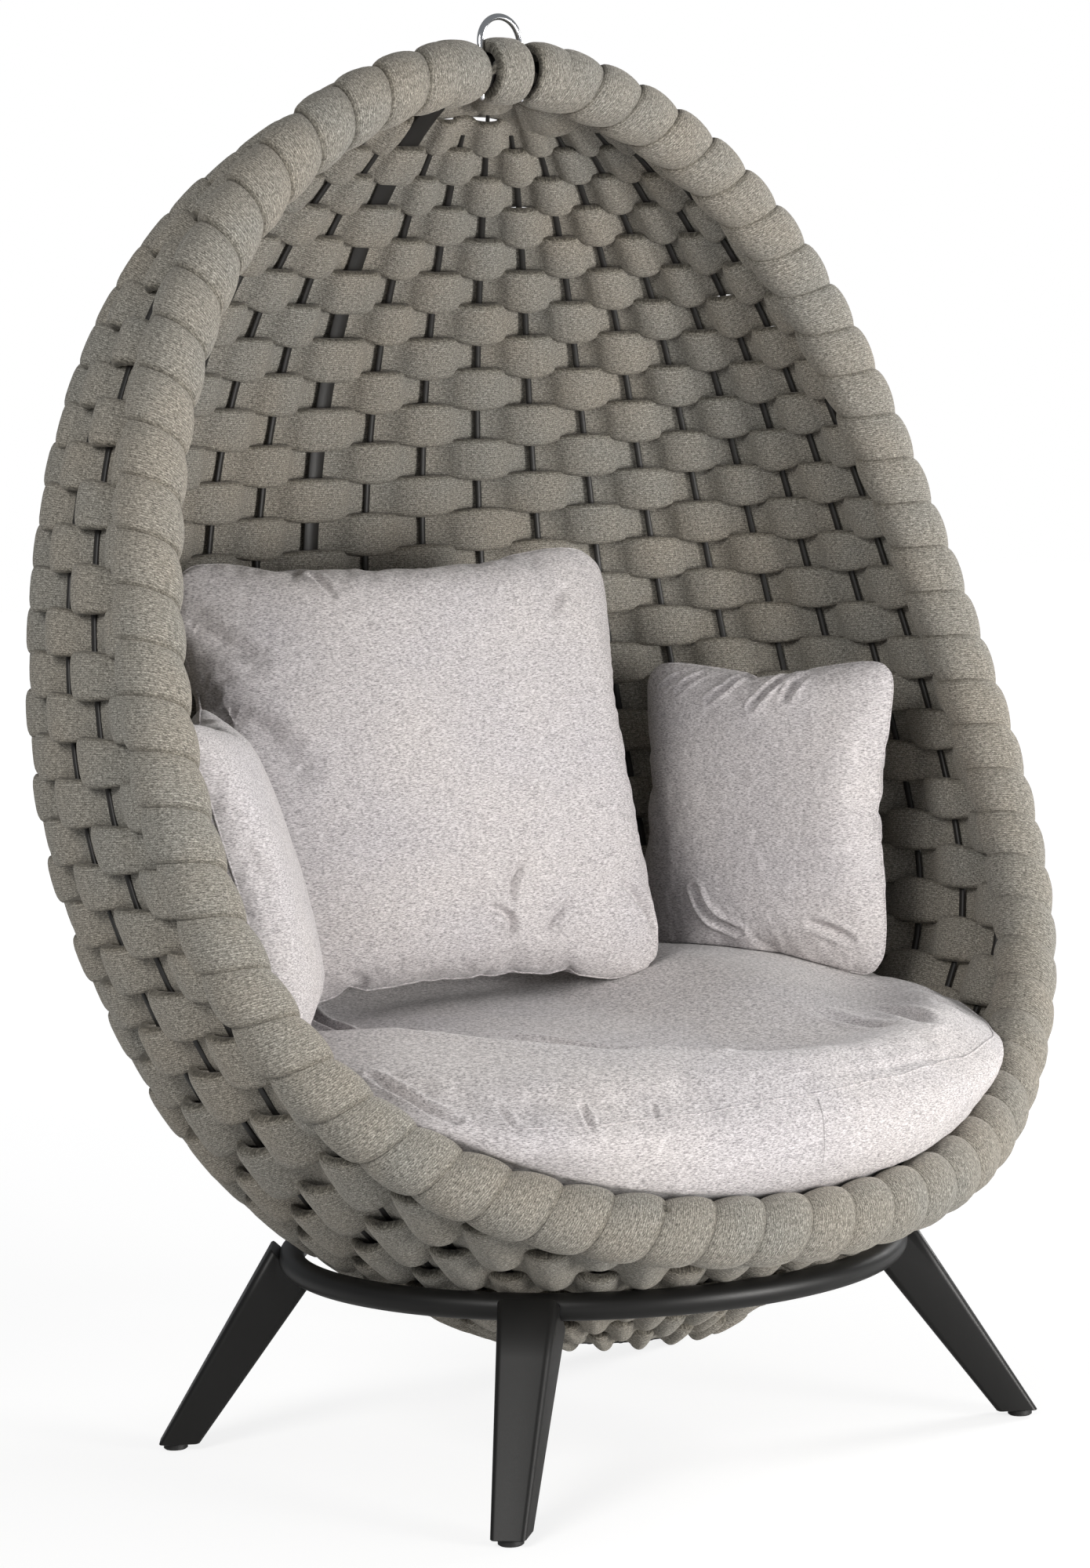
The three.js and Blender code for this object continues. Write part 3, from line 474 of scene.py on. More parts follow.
def sweep_tree():
    """Sweeps a rounded section along a rail whose points say which way it lies and how wide it is."""
    group = bpy.data.node_groups.new("section_on_rail", "GeometryNodeTree")
    kinds = {"Rail": "Geometry", "Section Points": "Int", "Edge Power": "Float", "Inner Depth": "Float",
             "Material": "Material"}
    ports = [
        group.interface.new_socket(name, in_out="INPUT", socket_type="NodeSocket" + kind)
        for name, kind in kinds.items()
    ]
    group.interface.new_socket("Piece", in_out="OUTPUT", socket_type="NodeSocketGeometry")
    t = Tree(group)
    ins = t.node("NodeGroupInput").outputs

    def stored(geometry, name, value, kind="FLOAT_VECTOR"):
        values = {"Geometry": geometry, "Name": name, "Value": value}
        return t.node("GeometryNodeStoreNamedAttribute", values, data_type=kind, domain="POINT").outputs[0]

    def named(name, kind="FLOAT"):
        return t.node("GeometryNodeInputNamedAttribute", {"Name": name}, data_type=kind).outputs[0]

    def rounded(value):
        size = t.math("POWER", t.math("ABSOLUTE", value), ins["Edge Power"])
        return t.math("MULTIPLY", size, t.math("SIGN", value))

    position = t.node("GeometryNodeInputPosition").outputs[0]
    rail = stored(ins["Rail"], "rail_point", position)
    rail = t.node("GeometryNodeMeshToCurve", {"Mesh": rail}).outputs[0]
    sides = {"Resolution": ins["Section Points"], "Radius": 1.0}
    circle = t.node("GeometryNodeCurvePrimitiveCircle", sides).outputs["Curve"]
    section = stored(circle, "section_point", position)
    swept = t.node("GeometryNodeCurveToMesh", {"Curve": rail, "Profile Curve": section, "Fill Caps": True})
    split = t.node("ShaderNodeSeparateXYZ", {"Vector": named("section_point", "FLOAT_VECTOR")}).outputs
    share_across = rounded(split["X"])
    wide = t.math("MULTIPLY", share_across, named("half_width"))
    thick = t.math("MULTIPLY", rounded(split["Y"]), named("half_thick"))
    thick = t.math("MAXIMUM", thick, t.math("MULTIPLY", ins["Inner Depth"], -1.0))
    place = named("rail_point", "FLOAT_VECTOR")
    for direction, reach in (("across", wide), ("outward", thick)):
        place = t.vector("ADD", place, t.vector("SCALE", named(direction, "FLOAT_VECTOR"), reach))
    shaped = t.node("GeometryNodeSetPosition", {"Geometry": swept.outputs[0], "Position": place}).outputs[0]
    cloth = t.node("ShaderNodeCombineXYZ", {"X": named("along"), "Y": wide}).outputs[0]
    shaped = stored(shaped, "cloth", cloth)
    # How far across its section a point lies; the strap material paints shade at the edges from this
    shaped = stored(shaped, "edge", t.math("ABSOLUTE", share_across), "FLOAT")
    real = t.node("GeometryNodeRealizeInstances", {"Geometry": shaped}).outputs[0]
    dressed = t.node("GeometryNodeSetMaterial", {"Geometry": real, "Material": ins["Material"]}).outputs[0]
    t.node("NodeGroupOutput", {"Piece": dressed})
    return group, [port.identifier for port in ports[1:]]


SWEEP, SWEEP_PORTS = sweep_tree()
RAIL_VECTORS = ("across", "outward")
RAIL_NUMBERS = ("half_width", "half_thick", "along")
SPENT_FIELDS = {*RAIL_VECTORS, *RAIL_NUMBERS, "rail_point", "section_point"}


class Rail:
    """Points with the directions and half sizes of the section swept along them."""

    def __init__(self, points, across, outward, half_width, half_thick, closed=False):
        self.points = np.asarray(points, float)
        count = len(self.points)
        self.across = unit(np.broadcast_to(across, (count, 3)))
        self.outward = unit(np.broadcast_to(outward, (count, 3)))
        self.half_width = np.broadcast_to(half_width, count)
        self.half_thick = np.broadcast_to(half_thick, count)
        self.along = lengths_along(self.points)
        self.closed = closed


def sweep(name, rails, finish, sides, edge, origin=POD_PLACE, inner=1.0):
    """One mesh piece of rounded sections swept along one or more rails."""
    edges, start = [], 0
    for rail in rails:
        count = len(rail.points)
        edges += [(start + i, start + i + 1) for i in range(count - 1)]
        if rail.closed:
            edges.append((start + count - 1, start))
        start += count
    mesh = bpy.data.meshes.new(name + "_rail")
    mesh.from_pydata(np.concatenate([rail.points + origin for rail in rails]).tolist(), edges, [])
    for kind, field, keys in (("FLOAT_VECTOR", "vector", RAIL_VECTORS), ("FLOAT", "value", RAIL_NUMBERS)):
        for key in keys:
            values = np.concatenate([getattr(rail, key) for rail in rails]).astype(float)
            mesh.attributes.new(key, kind, "POINT").data.foreach_set(field, values.ravel())
    guide = new_object(name + "_rail", mesh)
    modifier = guide.modifiers.new("sweep", "NODES")
    modifier.node_group = SWEEP
    for port, value in zip(SWEEP_PORTS, (sides, edge, inner, finish)):
        modifier[port] = value
    made = bpy.data.meshes.new_from_object(evaluated(guide))
    bpy.data.objects.remove(guide)
    made.name = name
    for key in [attribute.name for attribute in made.attributes if attribute.name in SPENT_FIELDS]:
        made.attributes.remove(made.attributes[key])
    face_outwards(made)
    return keep_mesh(name, made)


# ---- materials


def new_material(name, colour, roughness, metallic=0.0):
    """A material, its node tree, its shader and its place on the object."""
    material = bpy.data.materials.new(name)
    material.use_nodes = True
    t = Tree(material.node_tree)
    shader = material.node_tree.nodes["Principled BSDF"]
    t.fill(shader, {"Base Color": (*colour, 1), "Roughness": roughness, "Metallic": metallic})
    return material, t, shader, t.node("ShaderNodeTexCoord").outputs["Object"]


def ramp(t, factor, stops):
    made = t.node("ShaderNodeValToRGB", {"Fac": factor})
    elements = made.color_ramp.elements
    while len(elements) < len(stops):
        elements.new(0.5)
    for element, (place, colour) in zip(elements, stops):
        element.position = place
        element.color = (*colour, 1)
    return made.outputs["Color"]


def noise(t, vector, scale, detail=2.0, roughness=0.5):
    values = {"Vector": vector, "Scale": scale, "Detail": detail, "Roughness": roughness}
    return t.node("ShaderNodeTexNoise", values).outputs["Fac"]


def tinted(t, colour, tint):
    made = t.node("ShaderNodeMix", {0: 1.0, 6: colour, 7: tint}, data_type="RGBA", blend_type="MULTIPLY")
    return made.outputs[2]


def bumped(t, height, strength, distance, over=None):
    """The normal of a bump, over another bump where one is given."""
    values = {"Strength": strength, "Distance": distance, "Height": height}
    if over:
        values["Normal"] = over
    return t.node("ShaderNodeBump", values).outputs[0]


def strap_fabric():
    """Taupe-grey melange knit: flecks of lighter and darker yarn in fine wales along the strap."""
    material, t, shader, place = new_material("strap_knit", (0.20, 0.185, 0.155), 0.92)
    cloth = t.node("ShaderNodeAttribute", attribute_name="cloth").outputs["Vector"]
    stretched = t.vector("MULTIPLY", cloth, (1.0, 2.0, 1.0))
    fleck, clump = noise(t, stretched, 470.0, 3.0, 0.8), noise(t, stretched, 190.0, 2.0, 0.6)
    fleck = t.math("ADD", t.math("MULTIPLY", fleck, 0.7), t.math("MULTIPLY", clump, 0.3))
    dark, plain, light = (0.060, 0.0555, 0.048), (0.206, 0.193, 0.169), (0.46, 0.437, 0.388)
    flecks = ramp(t, fleck, [(0.38, dark), (0.50, plain), (0.62, light)])
    cloud = noise(t, place, 7.0, 3.0, 0.55)
    warm = ramp(t, cloud, [(0.35, (0.94, 0.96, 0.97)), (0.65, (1.05, 1.02, 0.98))])
    split = t.node("ShaderNodeSeparateXYZ", {"Vector": cloth}).outputs
    wale = t.math("SINE", t.math("MULTIPLY", split["Y"], TAU / WALE_PITCH))
    lines = ramp(t, t.math("MULTIPLY_ADD", wale, 0.5, 0.5), [(0.0, (0.76,) * 3), (0.6, (1.06,) * 3)])
    knitted = tinted(t, tinted(t, flecks, warm), lines)
    # Painted shade: each strap and each rim turn darkens towards its edges, where the crevices between them
    # lie in shade
    edge = t.node("ShaderNodeAttribute", attribute_name="edge").outputs["Fac"]
    painted_crevice_shade = ramp(t, edge, [(0.80, (1.03,) * 3), (0.93, (0.80, 0.79, 0.77)), (1.0, (0.42, 0.41, 0.39))])
    stitch = t.math("SINE", t.math("MULTIPLY", split["X"], TAU / STITCH_PITCH))
    knit = t.math("ADD", t.math("MULTIPLY", wale, 0.35), t.math("MULTIPLY", stitch, 0.2))
    height = t.math("ADD", knit, t.math("MULTIPLY", fleck, 1.3))
    normal = bumped(t, noise(t, place, 24.0), 0.25, 0.003, bumped(t, height, 0.35, 0.0006))
    t.fill(shader, {
        "Base Color": tinted(t, knitted, painted_crevice_shade), "Normal": normal, "Specular IOR Level": 0.2,
        "Sheen Weight": 0.22, "Sheen Roughness": 0.5, "Sheen Tint": (0.75, 0.71, 0.64, 1),
    })
    return material


def cushion_fabric():
    """Light grey melange plain weave with darker flecks."""
    material, t, shader, place = new_material("cushion_weave", (0.45, 0.42, 0.41), 0.95)
    fleck = noise(t, t.vector("MULTIPLY", place, (0.45, 0.45, 1.7)), 500.0, 3.0, 0.75)
    dark, plain, light = (0.23, 0.216, 0.219), (0.485, 0.459, 0.458), (0.70, 0.67, 0.67)
    flecks = ramp(t, fleck, [(0.36, dark), (0.50, plain), (0.64, light)])
    tone = ramp(t, noise(t, place, 5.0), [(0.35, (0.95, 0.95, 0.97)), (0.65, (1.04, 1.03, 1.02))])
    normal = bumped(t, noise(t, place, 22.0, 3.0), 0.35, 0.004, bumped(t, fleck, 0.3, 0.0005))
    t.fill(shader, {
        "Base Color": tinted(t, flecks, tone), "Normal": normal, "Specular IOR Level": 0.2,
        "Sheen Weight": 0.25, "Sheen Roughness": 0.5,
    })
    return material


def powder_coat(name, colour, roughness, specular=0.5):
    """Fine-grained coat over metal."""
    material, t, shader, place = new_material(name, colour, roughness)
    grain = noise(t, place, 900.0)
    dim, bright = (tuple(c * factor for c in colour) for factor in (0.9, 1.12))
    t.fill(shader, {
        "Base Color": ramp(t, noise(t, place, 14.0, 3.0), [(0.3, dim), (0.7, bright)]),
        "Roughness": t.math("ADD", t.math("MULTIPLY", grain, 0.16), roughness - 0.08),
        "Normal": bumped(t, grain, 0.18, 0.0003), "Specular IOR Level": specular,
    })
    return material


def polished_chrome():
    material, t, shader, place = new_material("polished_chrome", (0.78, 0.79, 0.81), 0.12, 1.0)
    rough = t.math("ADD", t.math("MULTIPLY", noise(t, place, 260.0), 0.12), 0.06)
    t.fill(shader, {"Roughness": rough})
    return material


def glide_plastic():
    material, t, shader, place = new_material("glide_plastic", (0.012, 0.012, 0.012), 0.55)
    t.fill(shader, {"Normal": bumped(t, noise(t, place, 1500.0), 0.2, 0.0002)})
    return material


STRAP_FABRIC = strap_fabric()
CUSHION_FABRIC = cushion_fabric()
RIB_PAINT = powder_coat("rib_coat", (0.013, 0.012, 0.011), 0.5)
STAND_PAINT = powder_coat("stand_coat", (0.0065, 0.0063, 0.0060), 0.44, 0.35)
CHROME = polished_chrome()
GLIDE_PLASTIC = glide_plastic()


# ---- weave


def depth_wave(course, rib, level):
    """How far out a strap lies, from -1 inside to 1 outside, and its fullness, at rib numbers."""
    step = CROWN_RIB_STEP if course < CROWN_COURSES else 1
    place = np.abs(rib) / step
    half_width = pod_section(level)[0]
    flat = (SPINE_HALF_WIDTH + 0.003) / (half_width * RIB_PITCH * step)
    flat = np.minimum(flat, 0.6)
    beside = np.clip((place - flat) / (1 - flat), 0, 1)
    place = np.where(place < 1, beside, place)
    wave = np.cos(math.pi * (place + course))
    if course == CROWN_COURSES - 1:
        wave = np.where(place < 1, 1.0, wave)  # this one too passes behind the spine
    size = np.abs(wave)
    return np.sign(wave) * size**STRAP_DWELL, size**0.95


def course_rail(course):
    """The rail of one course, from the rim on the +X side to the rim on the other, or all round."""
    top = FIRST_COURSE_DROP + (course - 0.5) * COURSE_PITCH
    upper, level, lower = (float(level_down_spine(top + share * COURSE_PITCH)) for share in (0, 0.5, 1))
    closed = level < RIM_LOW_LEVEL
    end = 0.0 if closed else float(rim_angle(level))
    reach = (math.pi - end) / RIB_PITCH
    if closed:
        steps = RIB_COUNT * STEPS_PER_RIB
        rib = -RIB_COUNT / 2 + RIB_COUNT * np.arange(steps) / steps
    else:
        rib = np.linspace(-reach, reach, int(round(2 * (math.pi - end) / RIB_PITCH * STEPS_PER_RIB)))
    angle = math.pi - rib * RIB_PITCH
    wave, fullness = depth_wave(course, rib, level)
    high, middle, low = (shell_point(at, angle) for at in (upper, level, lower))
    normal = shell_normal(np.full_like(angle, level), angle)
    height = np.linalg.norm(high - low, axis=1)
    around = pod_section(level)[0]
    shrink = np.ones_like(rib)
    if not closed:
        left = (reach - np.abs(rib)) / reach * (math.pi - end) * around
        shrink = np.clip(left / STRAP_END, 0.0, 1.0) ** 0.7
    draws = np.random.default_rng(STRAP_SEED + course).normal(size=(3, RIB_COUNT + 3))
    knots = np.arange(-RIB_COUNT // 2 - 1, RIB_COUNT // 2 + 2)
    wobble = [size * np.interp(rib, knots, draw) for size, draw in zip(STRAP_WOBBLE, draws)]
    share = STRAP_WAIST + (STRAP_CROWN - STRAP_WAIST) * fullness
    share = share + STRAP_EASE * max(1 - course / EASED_ROWS, 0)
    bowl = float(between(course, BOWL_ROWS))
    share = (share + BOWL_EASE * bowl) * (1 - BOWL_END_TAPER * bowl * (1 - shrink))
    if course == 0:
        share = share + TOP_EASE
    half_width = 0.5 * height * share * (1 + wobble[0])
    tight = min(1.0, max(around * RIB_PITCH / TIGHT_SPACE, 0.45)) if course >= CROWN_COURSES else 1.0
    swing = np.where(wave > 0, STRAP_SWING[1], STRAP_SWING[0]) * tight * shrink * (1 + wobble[1])
    points = middle + normal * (swing * wave)[:, None]
    points[:, 2] += wobble[2] * shrink
    half_thick = STRAP_HALF_THICK * (0.9 + 0.1 * fullness) * (0.65 + 0.35 * tight)
    across = np.hypot(points[:, 0], points[:, 1]) - RING_RADIUS
    off_ring = np.hypot(across, points[:, 2] - (RING_HEIGHT - POD_PLACE[2]))
    pressed = np.maximum(RING_TUBE + half_thick + RING_PLAY - off_ring, 0)
    return Rail(points - normal * pressed[:, None], high - low, normal, half_width, half_thick, closed)


def make_weave():
    for course in range(COURSE_COUNT):
        rails = [course_rail(course)] if course else [course_rail(0), course_rail(-1)]
        piece = sweep(f"strap_course_{course + 1:02d}", rails, STRAP_FABRIC, STRAP_SIDES, STRAP_EDGE)
        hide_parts(f"woven_strap_{course + 1:02d}")
        hand_over([piece])


def rib_rail(rib):
    """A rib, or the spine, from the hub plate up to the rim."""
    angle = math.pi - rib * RIB_PITCH
    hub_level = level_at_radius(HUB_RADIUS - RIB_ROOT)
    edge = 0 if rib % CROWN_RIB_STEP == 0 else CROWN_COURSES
    top_drop = FIRST_COURSE_DROP + (edge - 0.5) * COURSE_PITCH
    low_drop = np.interp(-hub_level, -SPINE_LEVELS, SPINE_LENGTHS)
    level = level_down_spine(np.arange(low_drop, top_drop, -RIB_STEP))
    points = shell_point(level, angle)
    inside = points[:, 1] >= mouth_y(level) - RIB_SHORT
    stop = len(level) if inside.all() else int(np.argmax(~inside))
    level, points = level[:stop], points[:stop]
    normal = shell_normal(level, np.full_like(level, angle))
    side = unit(shell_point(level, angle + 1e-3) - shell_point(level, angle - 1e-3))
    space = RIB_PITCH * np.minimum(*pod_section(level)[:2])
    if rib == 0:
        half_width = SPINE_HALF_WIDTH * (1 + 0.3 * smooth((level - 0.86) / 0.08))
        half_width = np.minimum(half_width, space * np.where(level > 0.5, 1.5, 0.5))
    else:
        half_width = np.minimum(RIB_HALF_WIDTH, 0.15 * space)
    return Rail(points, side, normal, half_width, RIB_HALF_THICK)


def make_rib_cage():
    rails = [rib_rail(rib) for rib in range(1 - RIB_COUNT // 2, RIB_COUNT // 2 + 1)]
    piece = sweep("rib_bars", rails, RIB_PAINT, 8, 0.35)
    hand_over([piece, hub_plate()])
    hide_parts("rib_cage")


def hub_plate():
    """The round plate at the bottom that the ribs are welded to, with a rounded edge."""
    _, _, middle, height = (float(v) for v in pod_section(HUB_LEVEL))
    half = HUB_HALF_THICK
    profile = [(0.0, -half), (HUB_RADIUS - 0.002, -half), (HUB_RADIUS, -half * 0.4)]
    profile += [(r, -h) for r, h in reversed(profile)]
    return lathe("hub_plate", profile, POD_PLACE + np.array([0, middle, height]), RIB_PAINT, 96)


def lathe(name, profile, place, finish, sides=48):
    """A turned piece: [radius, height] from the axis back to the axis."""
    turn = TAU * np.arange(sides) / sides
    points, faces, rings = [], [], []
    for radius, height in profile:
        count = sides if radius else 1
        rings.append(list(range(len(points), len(points) + count)))
        points += [place + (radius * math.cos(a), radius * math.sin(a), height) for a in turn[:count]]
    for a, b in zip(rings, rings[1:]):
        for i in range(sides):
            j = (i + 1) % sides
            corners = (a[i % len(a)], b[i % len(b)], b[j % len(b)], a[j % len(a)])
            faces.append(tuple(dict.fromkeys(corners)))
    mesh = mesh_from(name, points, faces)
    mesh.materials.append(finish)
    return keep_mesh(name, mesh)


# ---- rim


def wound_rail(start, end):
    """The long wrapping: one strap wound round the rim, each turn's edge lapped over the next."""
    turns = round((end - start) / WRAP_PITCH)
    pitch = (end - start - 2 * WRAP_HALF_WIDTH) / (turns - 1)
    share = np.arange(0, (turns + 1) * TURN_STEPS + 1) / TURN_STEPS
    first, last = start + WRAP_HALF_WIDTH, end - WRAP_HALF_WIDTH
    length = np.clip(first + (share - 1) * pitch, first, last)
    middle, along, back, off = rim_at(length)
    turn = -TAU * share
    radial = np.cos(turn)[:, None] * back + np.sin(turn)[:, None] * off
    rng = np.random.default_rng(WRAP_SEED)
    knots = np.arange(turns + 3)
    wobble, sway = (np.interp(share, knots, rng.normal(size=turns + 3)) for _ in range(2))
    radius = WRAP_MIDDLE + 0.0004 * wobble
    tilt = (WRAP_TILT * (1 + 0.05 * sway))[:, None]
    across = -along * np.cos(tilt) + radial * np.sin(tilt)
    outward = radial * np.cos(tilt) + along * np.sin(tilt)
    return Rail(middle + radial * radius[:, None], across, outward, WRAP_HALF_WIDTH, WRAP_HALF_THICK)


def band_rail(half_width):
    """The single turn between the legs of the hanging loop."""
    turn = np.linspace(0, TAU, 48, endpoint=False)
    middle, along, back, off = rim_at(np.zeros(48))
    radial = np.cos(turn)[:, None] * back + np.sin(turn)[:, None] * off
    return Rail(middle + radial * (WRAP_MIDDLE + 0.0005), along, radial, half_width, WRAP_HALF_THICK, True)


def make_rim():
    slit_edge = LOOP_HALF_SPAN + LOOP_SLIT / 2
    wound = wound_rail(slit_edge, RIM_LENGTH - slit_edge)
    long_wrap = sweep("rim_wrapping", [wound], STRAP_FABRIC, WRAP_SIDES, 1.0, inner=WRAP_INNER)
    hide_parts("rim_wrap")
    band = band_rail(LOOP_HALF_SPAN - LOOP_SLIT / 2)
    short = sweep("rim_wrapping_top", [band], STRAP_FABRIC, WRAP_SIDES, 0.7, inner=WRAP_INNER)
    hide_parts("rim_wrap_top")
    hand_over([long_wrap, short])
    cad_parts["rim_hoop"].material_slots[0].material = RIB_PAINT


# ---- hanging loop


def make_hanging_loop():
    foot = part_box("hanging_loop")[0].z - POD_PLACE[2]
    bend = RIM_TOP[2] + LOOP_RISE - LOOP_HALF_SPAN
    arc = np.linspace(math.pi, 0, 40)
    legs = np.linspace(foot, bend, 12)[:-1]
    straight = np.full(len(legs), LOOP_HALF_SPAN)
    xs = np.concatenate([-straight, LOOP_HALF_SPAN * np.cos(arc), straight])
    zs = np.concatenate([legs, bend + LOOP_HALF_SPAN * np.sin(arc), legs[::-1]])
    points = np.stack([xs, np.full_like(xs, RIM_TOP[1]), zs], -1)
    back = np.array([0.0, 1.0, 0.0])
    off = np.cross(unit(np.gradient(points, axis=0)), back)
    loop = sweep("hanging_loop_rod", [Rail(points, back, off, LOOP_ROD, LOOP_ROD)], CHROME, 20, 1.0)
    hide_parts("hanging_loop")
    pieces = [loop]
    for side in ("left", "right"):
        low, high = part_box(f"dome_nut_{side}")
        radius = (high.x - low.x) / 2
        top = np.array([*((low + high) / 2).xy, high.z])
        hexagon = [(0, 0), (radius, 0), (radius, 0.0007 - NUT_HEIGHT)]
        hexagon += [(radius * 0.92, -NUT_HEIGHT), (0, -NUT_HEIGHT)]
        body = lathe(f"nut_body_{side}", hexagon, top, CHROME, 6)
        body.data.shade_flat()
        dome_radius, height = radius * 0.86, high.z - low.z - NUT_HEIGHT
        profile = [(0, 0.001 - NUT_HEIGHT), (dome_radius, 0.001 - NUT_HEIGHT)]
        for a in np.linspace(0, math.pi / 2, 9):
            profile.append((dome_radius * math.cos(a), -NUT_HEIGHT - height * math.sin(a)))
        profile[-1] = (0, profile[-1][1])
        dome = lathe(f"nut_dome_{side}", profile, top, CHROME, 32)
        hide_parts(f"dome_nut_{side}")
        pieces += [body, dome]
    hand_over(pieces)


# ---- stand


def loft_mesh(name, rings):
    """A closed body through rings of points, with flat ends and sharp edges at them."""
    number = np.arange(len(rings) * len(rings[0])).reshape(len(rings), -1)
    faces = quads(np.column_stack([number, number[:, 0]])).tolist()
    faces += [number[0, ::-1].tolist(), number[-1].tolist()]
    return mesh_from(name, np.concatenate(rings), faces)


def leg_ring(share, inset=0.0):
    """The leg's rounded rectangle at a share of the way from the foot to the top."""
    foot, top = np.array(LEG_FOOT), np.array(LEG_TOP)
    inner, outer = foot + (top - foot) * share
    width = LEG_WIDTHS[0] + (LEG_WIDTHS[1] - LEG_WIDTHS[0]) * share
    corner = LEG_CORNERS[0] + (LEG_CORNERS[1] - LEG_CORNERS[0]) * share
    middle, half = (inner + outer) / 2, np.linalg.norm(outer - inner) / 2
    outwards = (outer - inner) / (2 * half)
    points = []
    for quarter, (a, b) in enumerate(((1, 1), (-1, 1), (-1, -1), (1, -1))):
        for step in range(7):
            turn = (quarter + step / 6) * math.pi / 2
            along = a * (half - corner) + (corner - inset) * math.cos(turn)
            across = b * (width / 2 - corner) + (corner - inset) * math.sin(turn)
            place = middle + outwards * along
            points.append((place[0], across, place[1]))
    return np.array(points)


def ring_sweep(name, tube):
    turn = np.linspace(0, TAU, 180, endpoint=False)
    radial = np.stack([np.cos(turn), np.sin(turn), np.zeros_like(turn)], -1)
    rail = Rail(radial * RING_RADIUS, radial, (0, 0, 1), tube, tube, True)
    return sweep(name, [rail], STAND_PAINT, 32, 1.0, STAND_PLACE + (0, 0, RING_HEIGHT))


def make_stand():
    ring = ring_sweep("stand_ring", RING_TUBE)
    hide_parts("base_ring")
    cutter = ring_sweep("saddle_cutter", RING_TUBE + SADDLE_PLAY)
    sharp = math.radians(38)
    pieces = [ring]
    for place, angle in LEG_ANGLES.items():
        turn = Matrix.Rotation(math.radians(angle - 90), 4, "Z")
        rings = [leg_ring(0.0, 0.0012), leg_ring(0.004)]
        rings += [leg_ring(share) for share in (0.25, 0.5, 0.75, 0.992)] + [leg_ring(1.0, 0.0015)]
        mesh = loft_mesh(f"stand_leg_{place}", rings)
        mesh.transform(Matrix.Translation(STAND_PLACE) @ turn)
        mesh.materials.append(STAND_PAINT)
        leg = keep_mesh(f"stand_leg_{place}", mesh)
        saddle = leg.modifiers.new("saddle", "BOOLEAN")
        saddle.operation, saddle.solver, saddle.object = "DIFFERENCE", "EXACT", cutter
        work_in(leg)
        leg.data.set_sharp_from_angle(angle=sharp)
        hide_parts(f"leg_{place}")
        pieces.append(leg)
        low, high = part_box(f"foot_glide_{place}")
        radius, height = (high.x - low.x) / 2, high.z
        profile = [(0, 0), (radius - 0.002, 0), (radius, 0.0015)]
        profile += [(radius, height - 0.001), (radius - 0.001, height), (0, height)]
        middle = np.array([*((low + high) / 2).xy, 0])
        glide = lathe(f"glide_{place}", profile, middle, GLIDE_PLASTIC, 40)
        glide.data.set_sharp_from_angle(angle=sharp)
        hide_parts(f"foot_glide_{place}")
        hand_over([glide], "base")
    bpy.data.objects.remove(cutter)
    hand_over(pieces, "base")


# ---- cushions


def move_vertices(mesh, points):
    mesh.vertices.foreach_set("co", np.ascontiguousarray(points).ravel())
    mesh.update()


def subdivide(piece):
    modifier = piece.modifiers.new("subdivision", "SUBSURF")
    modifier.levels = modifier.render_levels = 1
    work_in(piece)


def inflate(piece, frames, pressure, bending=0.4, cap=None):
    """Blows a cover up by cloth simulation. No point moves further than the cap."""
    start = coordinates(piece.data)
    modifier = piece.modifiers.new("cloth", "CLOTH")
    cloth = modifier.settings
    cloth.quality, cloth.mass, cloth.bending_stiffness = 5, 0.3, bending
    cloth.use_pressure, cloth.uniform_pressure_force = True, pressure
    cloth.effector_weights.gravity = 0
    modifier.collision_settings.use_collision = False
    modifier.point_cache.frame_start, modifier.point_cache.frame_end = 1, frames
    scene = bpy.context.scene
    for number in range(1, frames + 1):
        scene.frame_set(number)
    end = coordinates(evaluated(piece).data)
    piece.modifiers.remove(modifier)
    scene.frame_set(1)
    move = end - start
    if cap:
        length = np.linalg.norm(move, axis=1, keepdims=True)
        move *= cap * np.tanh(length / cap) / np.maximum(length, 1e-9)
    move_vertices(piece.data, start + move)


HEIGHT_LEVELS = np.linspace(0, 1, 4001)
LEVEL_HEIGHTS = pod_section(HEIGHT_LEVELS)[3]


def keep_inside(points):
    """Moves points that come too near the woven wall or the rim back into the pod."""
    local = points - POD_PLACE
    level = np.interp(local[:, 2], LEVEL_HEIGHTS, HEIGHT_LEVELS)
    half_width, half_depth, middle, _ = pod_section(level)
    slope = shell_normal(level, np.full_like(level, math.pi / 2))
    inset = WALL_GAP / np.maximum(np.hypot(slope[:, 0], slope[:, 1]), 0.3)
    x, y = local[:, 0] / (half_width - inset), (local[:, 1] - middle) / (half_depth - inset)
    out = np.maximum(np.hypot(x, y), 1.0)
    local[:, 0] = local[:, 0] / out
    local[:, 1] = middle + (local[:, 1] - middle) / out
    sample = RIM_POINTS[::12]
    for i in range(0, len(local), 4000):
        part = local[i : i + 4000]
        away = part[:, None, :] - sample[None]
        far = np.linalg.norm(away, axis=2)
        nearest = np.argmin(far, axis=1)
        row = np.arange(len(part))
        far, away = far[row, nearest], away[row, nearest]
        short = np.maximum(RIM_GAP - far, 0)
        local[i : i + 4000] += away / np.maximum(far, 1e-6)[:, None] * short[:, None]
    return local + POD_PLACE


def surface_tree(piece):
    mesh = piece.data
    return BVHTree.FromPolygons([v.co for v in mesh.vertices], [tuple(p.vertices) for p in mesh.polygons])


def push_out(points, other, gap=0.001, reach=0.09):
    """Moves points that lie inside another piece onto its surface."""
    tree, solid = surface_tree(other), coordinates(other.data)
    moved = points.copy()
    for i in np.where(((points > solid.min(0) - 0.01) & (points < solid.max(0) + 0.01)).all(1))[0]:
        place, normal, _, _ = tree.find_nearest(Vector(points[i]), reach)
        if place is not None and (Vector(points[i]) - place).dot(normal) < gap:
            moved[i] = place + normal * gap
    return moved


